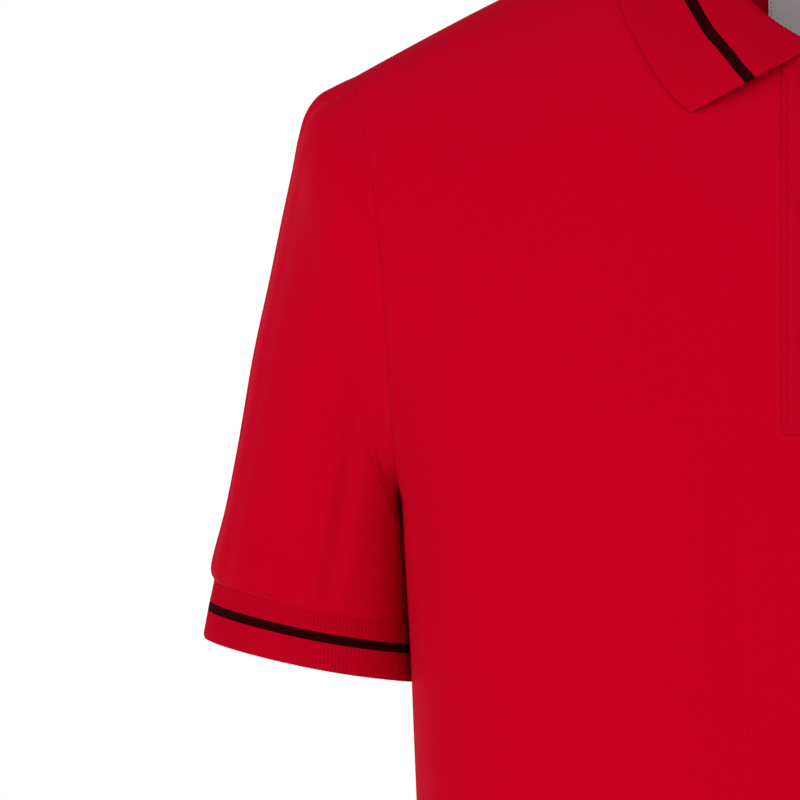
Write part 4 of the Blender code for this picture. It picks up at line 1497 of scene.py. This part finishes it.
def drilled_button(name, material):
    """Turned button with its four holes cut through."""
    button = new_piece(name, turned_mesh(name, button_profile(), BUTTON_SEGMENTS), material)
    drill_line = [
        (0.0, DRILL_REACH), (BUTTON_HOLE_RADIUS, DRILL_REACH),
        (BUTTON_HOLE_RADIUS, -DRILL_REACH), (0.0, -DRILL_REACH)]
    drill_mesh = bpy.data.meshes.new("drill")
    work = bmesh.new()
    for turn in range(4):
        angle = math.pi / 4 + turn * HALF_PI
        place = Vector((math.cos(angle), math.sin(angle), 0)) * BUTTON_HOLE_OUT * math.sqrt(2)
        bit = turned_mesh("bit", drill_line, DRILL_SEGMENTS)
        bit.transform(Matrix.Translation(place))
        work.from_mesh(bit)
        bpy.data.meshes.remove(bit)
    work.to_mesh(drill_mesh)
    work.free()
    drill = bpy.data.objects.new("drill", drill_mesh)
    bpy.context.scene.collection.objects.link(drill)
    cut = button.modifiers.new("Holes", "BOOLEAN")
    cut.operation = "DIFFERENCE"
    cut.object = drill
    made = keep_modified(button, cut)
    made.materials.clear()
    made.materials.append(material)
    made.shade_smooth()
    made.set_sharp_from_angle(angle=math.radians(35))
    bpy.data.objects.remove(drill)
    return button


button_resin = cast_resin("button cast resin", "b0051f")
thread_bars = []
for number, height in enumerate(BUTTON_HEIGHTS, start=1):
    name = f"polo_button_{number}"
    button = drilled_button(name, button_resin)
    climb = climb_at(FRONT, height)
    normal = panel_normal(FRONT, 0.0, climb)
    lift = 2 * SEAM_GAP + CAD_CLOTH + BUTTON_THICKNESS / 2
    centre = panel_point(FRONT, 0.0, climb) + normal * lift
    seat = Matrix.Translation(centre) @ normal.to_track_quat("Z", "Y").to_matrix().to_4x4()
    button.data.transform(seat)
    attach(button, "root")
    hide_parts(f"button_{number}")
    face = BUTTON_THICKNESS / 2 - BUTTON_DISH
    for side in (-1, 1):
        for strand in range(BAR_STRANDS):
            aside = side * BUTTON_HOLE_OUT + (strand - 1) * 1.6 * THREAD_RADIUS
            bar = []
            for i in range(BAR_STEPS + 1):
                t = i / BAR_STEPS
                along = mix(-BUTTON_HOLE_OUT, BUTTON_HOLE_OUT, t)
                level = face - BAR_SINK + (BAR_ARCH + BAR_SINK) * math.sin(math.pi * t) ** 0.45
                bar.append(seat @ Vector((aside, along, level)))
            thread_bars.append(bar)
sewn("button_threads", thread_bars, red_thread, running, {"Thread radius": THREAD_RADIUS})


# Floor and light
# A pale studio floor and large soft lamps: one in front and above, one at each side for an even red
# on chest and sleeves, and one far behind each side that draws the bright rims. The paper is a
# little brighter to the camera than its light makes it, so that the floor stays pale from any side.

FLOOR_HEIGHT = HEM - 0.55
FLOOR_HALF_WIDTH = 9.0
FLOOR_FRONT = -6.0
FLOOR_BACK = 8.0
PAPER_GLOW = 0.5

floor_grid = np.array([
    [(x, y, FLOOR_HEIGHT) for y in (FLOOR_FRONT, FLOOR_BACK)] for x in (-FLOOR_HALF_WIDTH, FLOOR_HALF_WIDTH)
])
floor_cut = np.dstack((lengths_along(floor_grid, 1), lengths_along(floor_grid, 0)))
studio_paper, paper_tree, paper_shader = new_material("studio paper, pale", {
    "Base Color": linear("fbfbfb"), "Roughness": 0.95, "Specular IOR Level": 0.1,
    "Emission Color": linear("ffffff")})
paper_seen = add_node(paper_tree, "ShaderNodeLightPath").outputs["Is Camera Ray"]
paper_glow = math_node(paper_tree, "MULTIPLY", paper_seen, PAPER_GLOW)
paper_tree.links.new(paper_glow, paper_shader.inputs["Emission Strength"])
floor_mesh = cloth_mesh("studio_floor", floor_grid, floor_cut, flip=True)
studio_floor = new_piece("studio_floor", floor_mesh, studio_paper)


class SoftLight(NamedTuple):
    """A square softbox: where it hangs, what it points at, its side and its power in watts."""

    name: str
    place: tuple
    aim: tuple
    side: float
    watts: float


SOFT_LIGHTS = (
    SoftLight("front_softbox", (-0.2, -3.0, 0.75), (0.0, 0.0, -0.30), 1.5, 25.5),
    SoftLight("left_softbox", (-3.0, -1.7, 0.0), (-0.1, 0.0, -0.35), 2.0, 40.0),
    SoftLight("right_softbox", (2.3, -2.8, 0.0), (-0.1, 0.0, -0.35), 2.0, 22.0),
    SoftLight("left_rim_light", (-2.3, 3.2, 0.2), (-0.1, 0.0, -0.35), 2.0, 24.0),
    SoftLight("right_rim_light", (2.3, 3.2, 0.2), (0.1, 0.0, -0.35), 2.0, 24.0),
)
for light in SOFT_LIGHTS:
    lamp = bpy.data.lights.new(light.name, "AREA")
    lamp.shape = "SQUARE"
    lamp.size = light.side
    lamp.energy = light.watts
    aimed(light.name, lamp, light.place, light.aim)

# The room fills the shirt with soft light at this strength, and looks white itself
ROOM_FILL = 0.36
room = bpy.data.worlds.new("studio_room")
room.use_nodes = True
room_paint = room.node_tree.nodes["Background"]
room_paint.inputs["Color"].default_value = linear("ffffff")
seen = add_node(room.node_tree, "ShaderNodeLightPath").outputs["Is Camera Ray"]
strength = math_node(room.node_tree, "MULTIPLY_ADD", seen, 1 - ROOM_FILL, ROOM_FILL)
room.node_tree.links.new(strength, room_paint.inputs["Strength"])
bpy.context.scene.world = room
bpy.context.scene.view_settings.view_transform = "Standard"
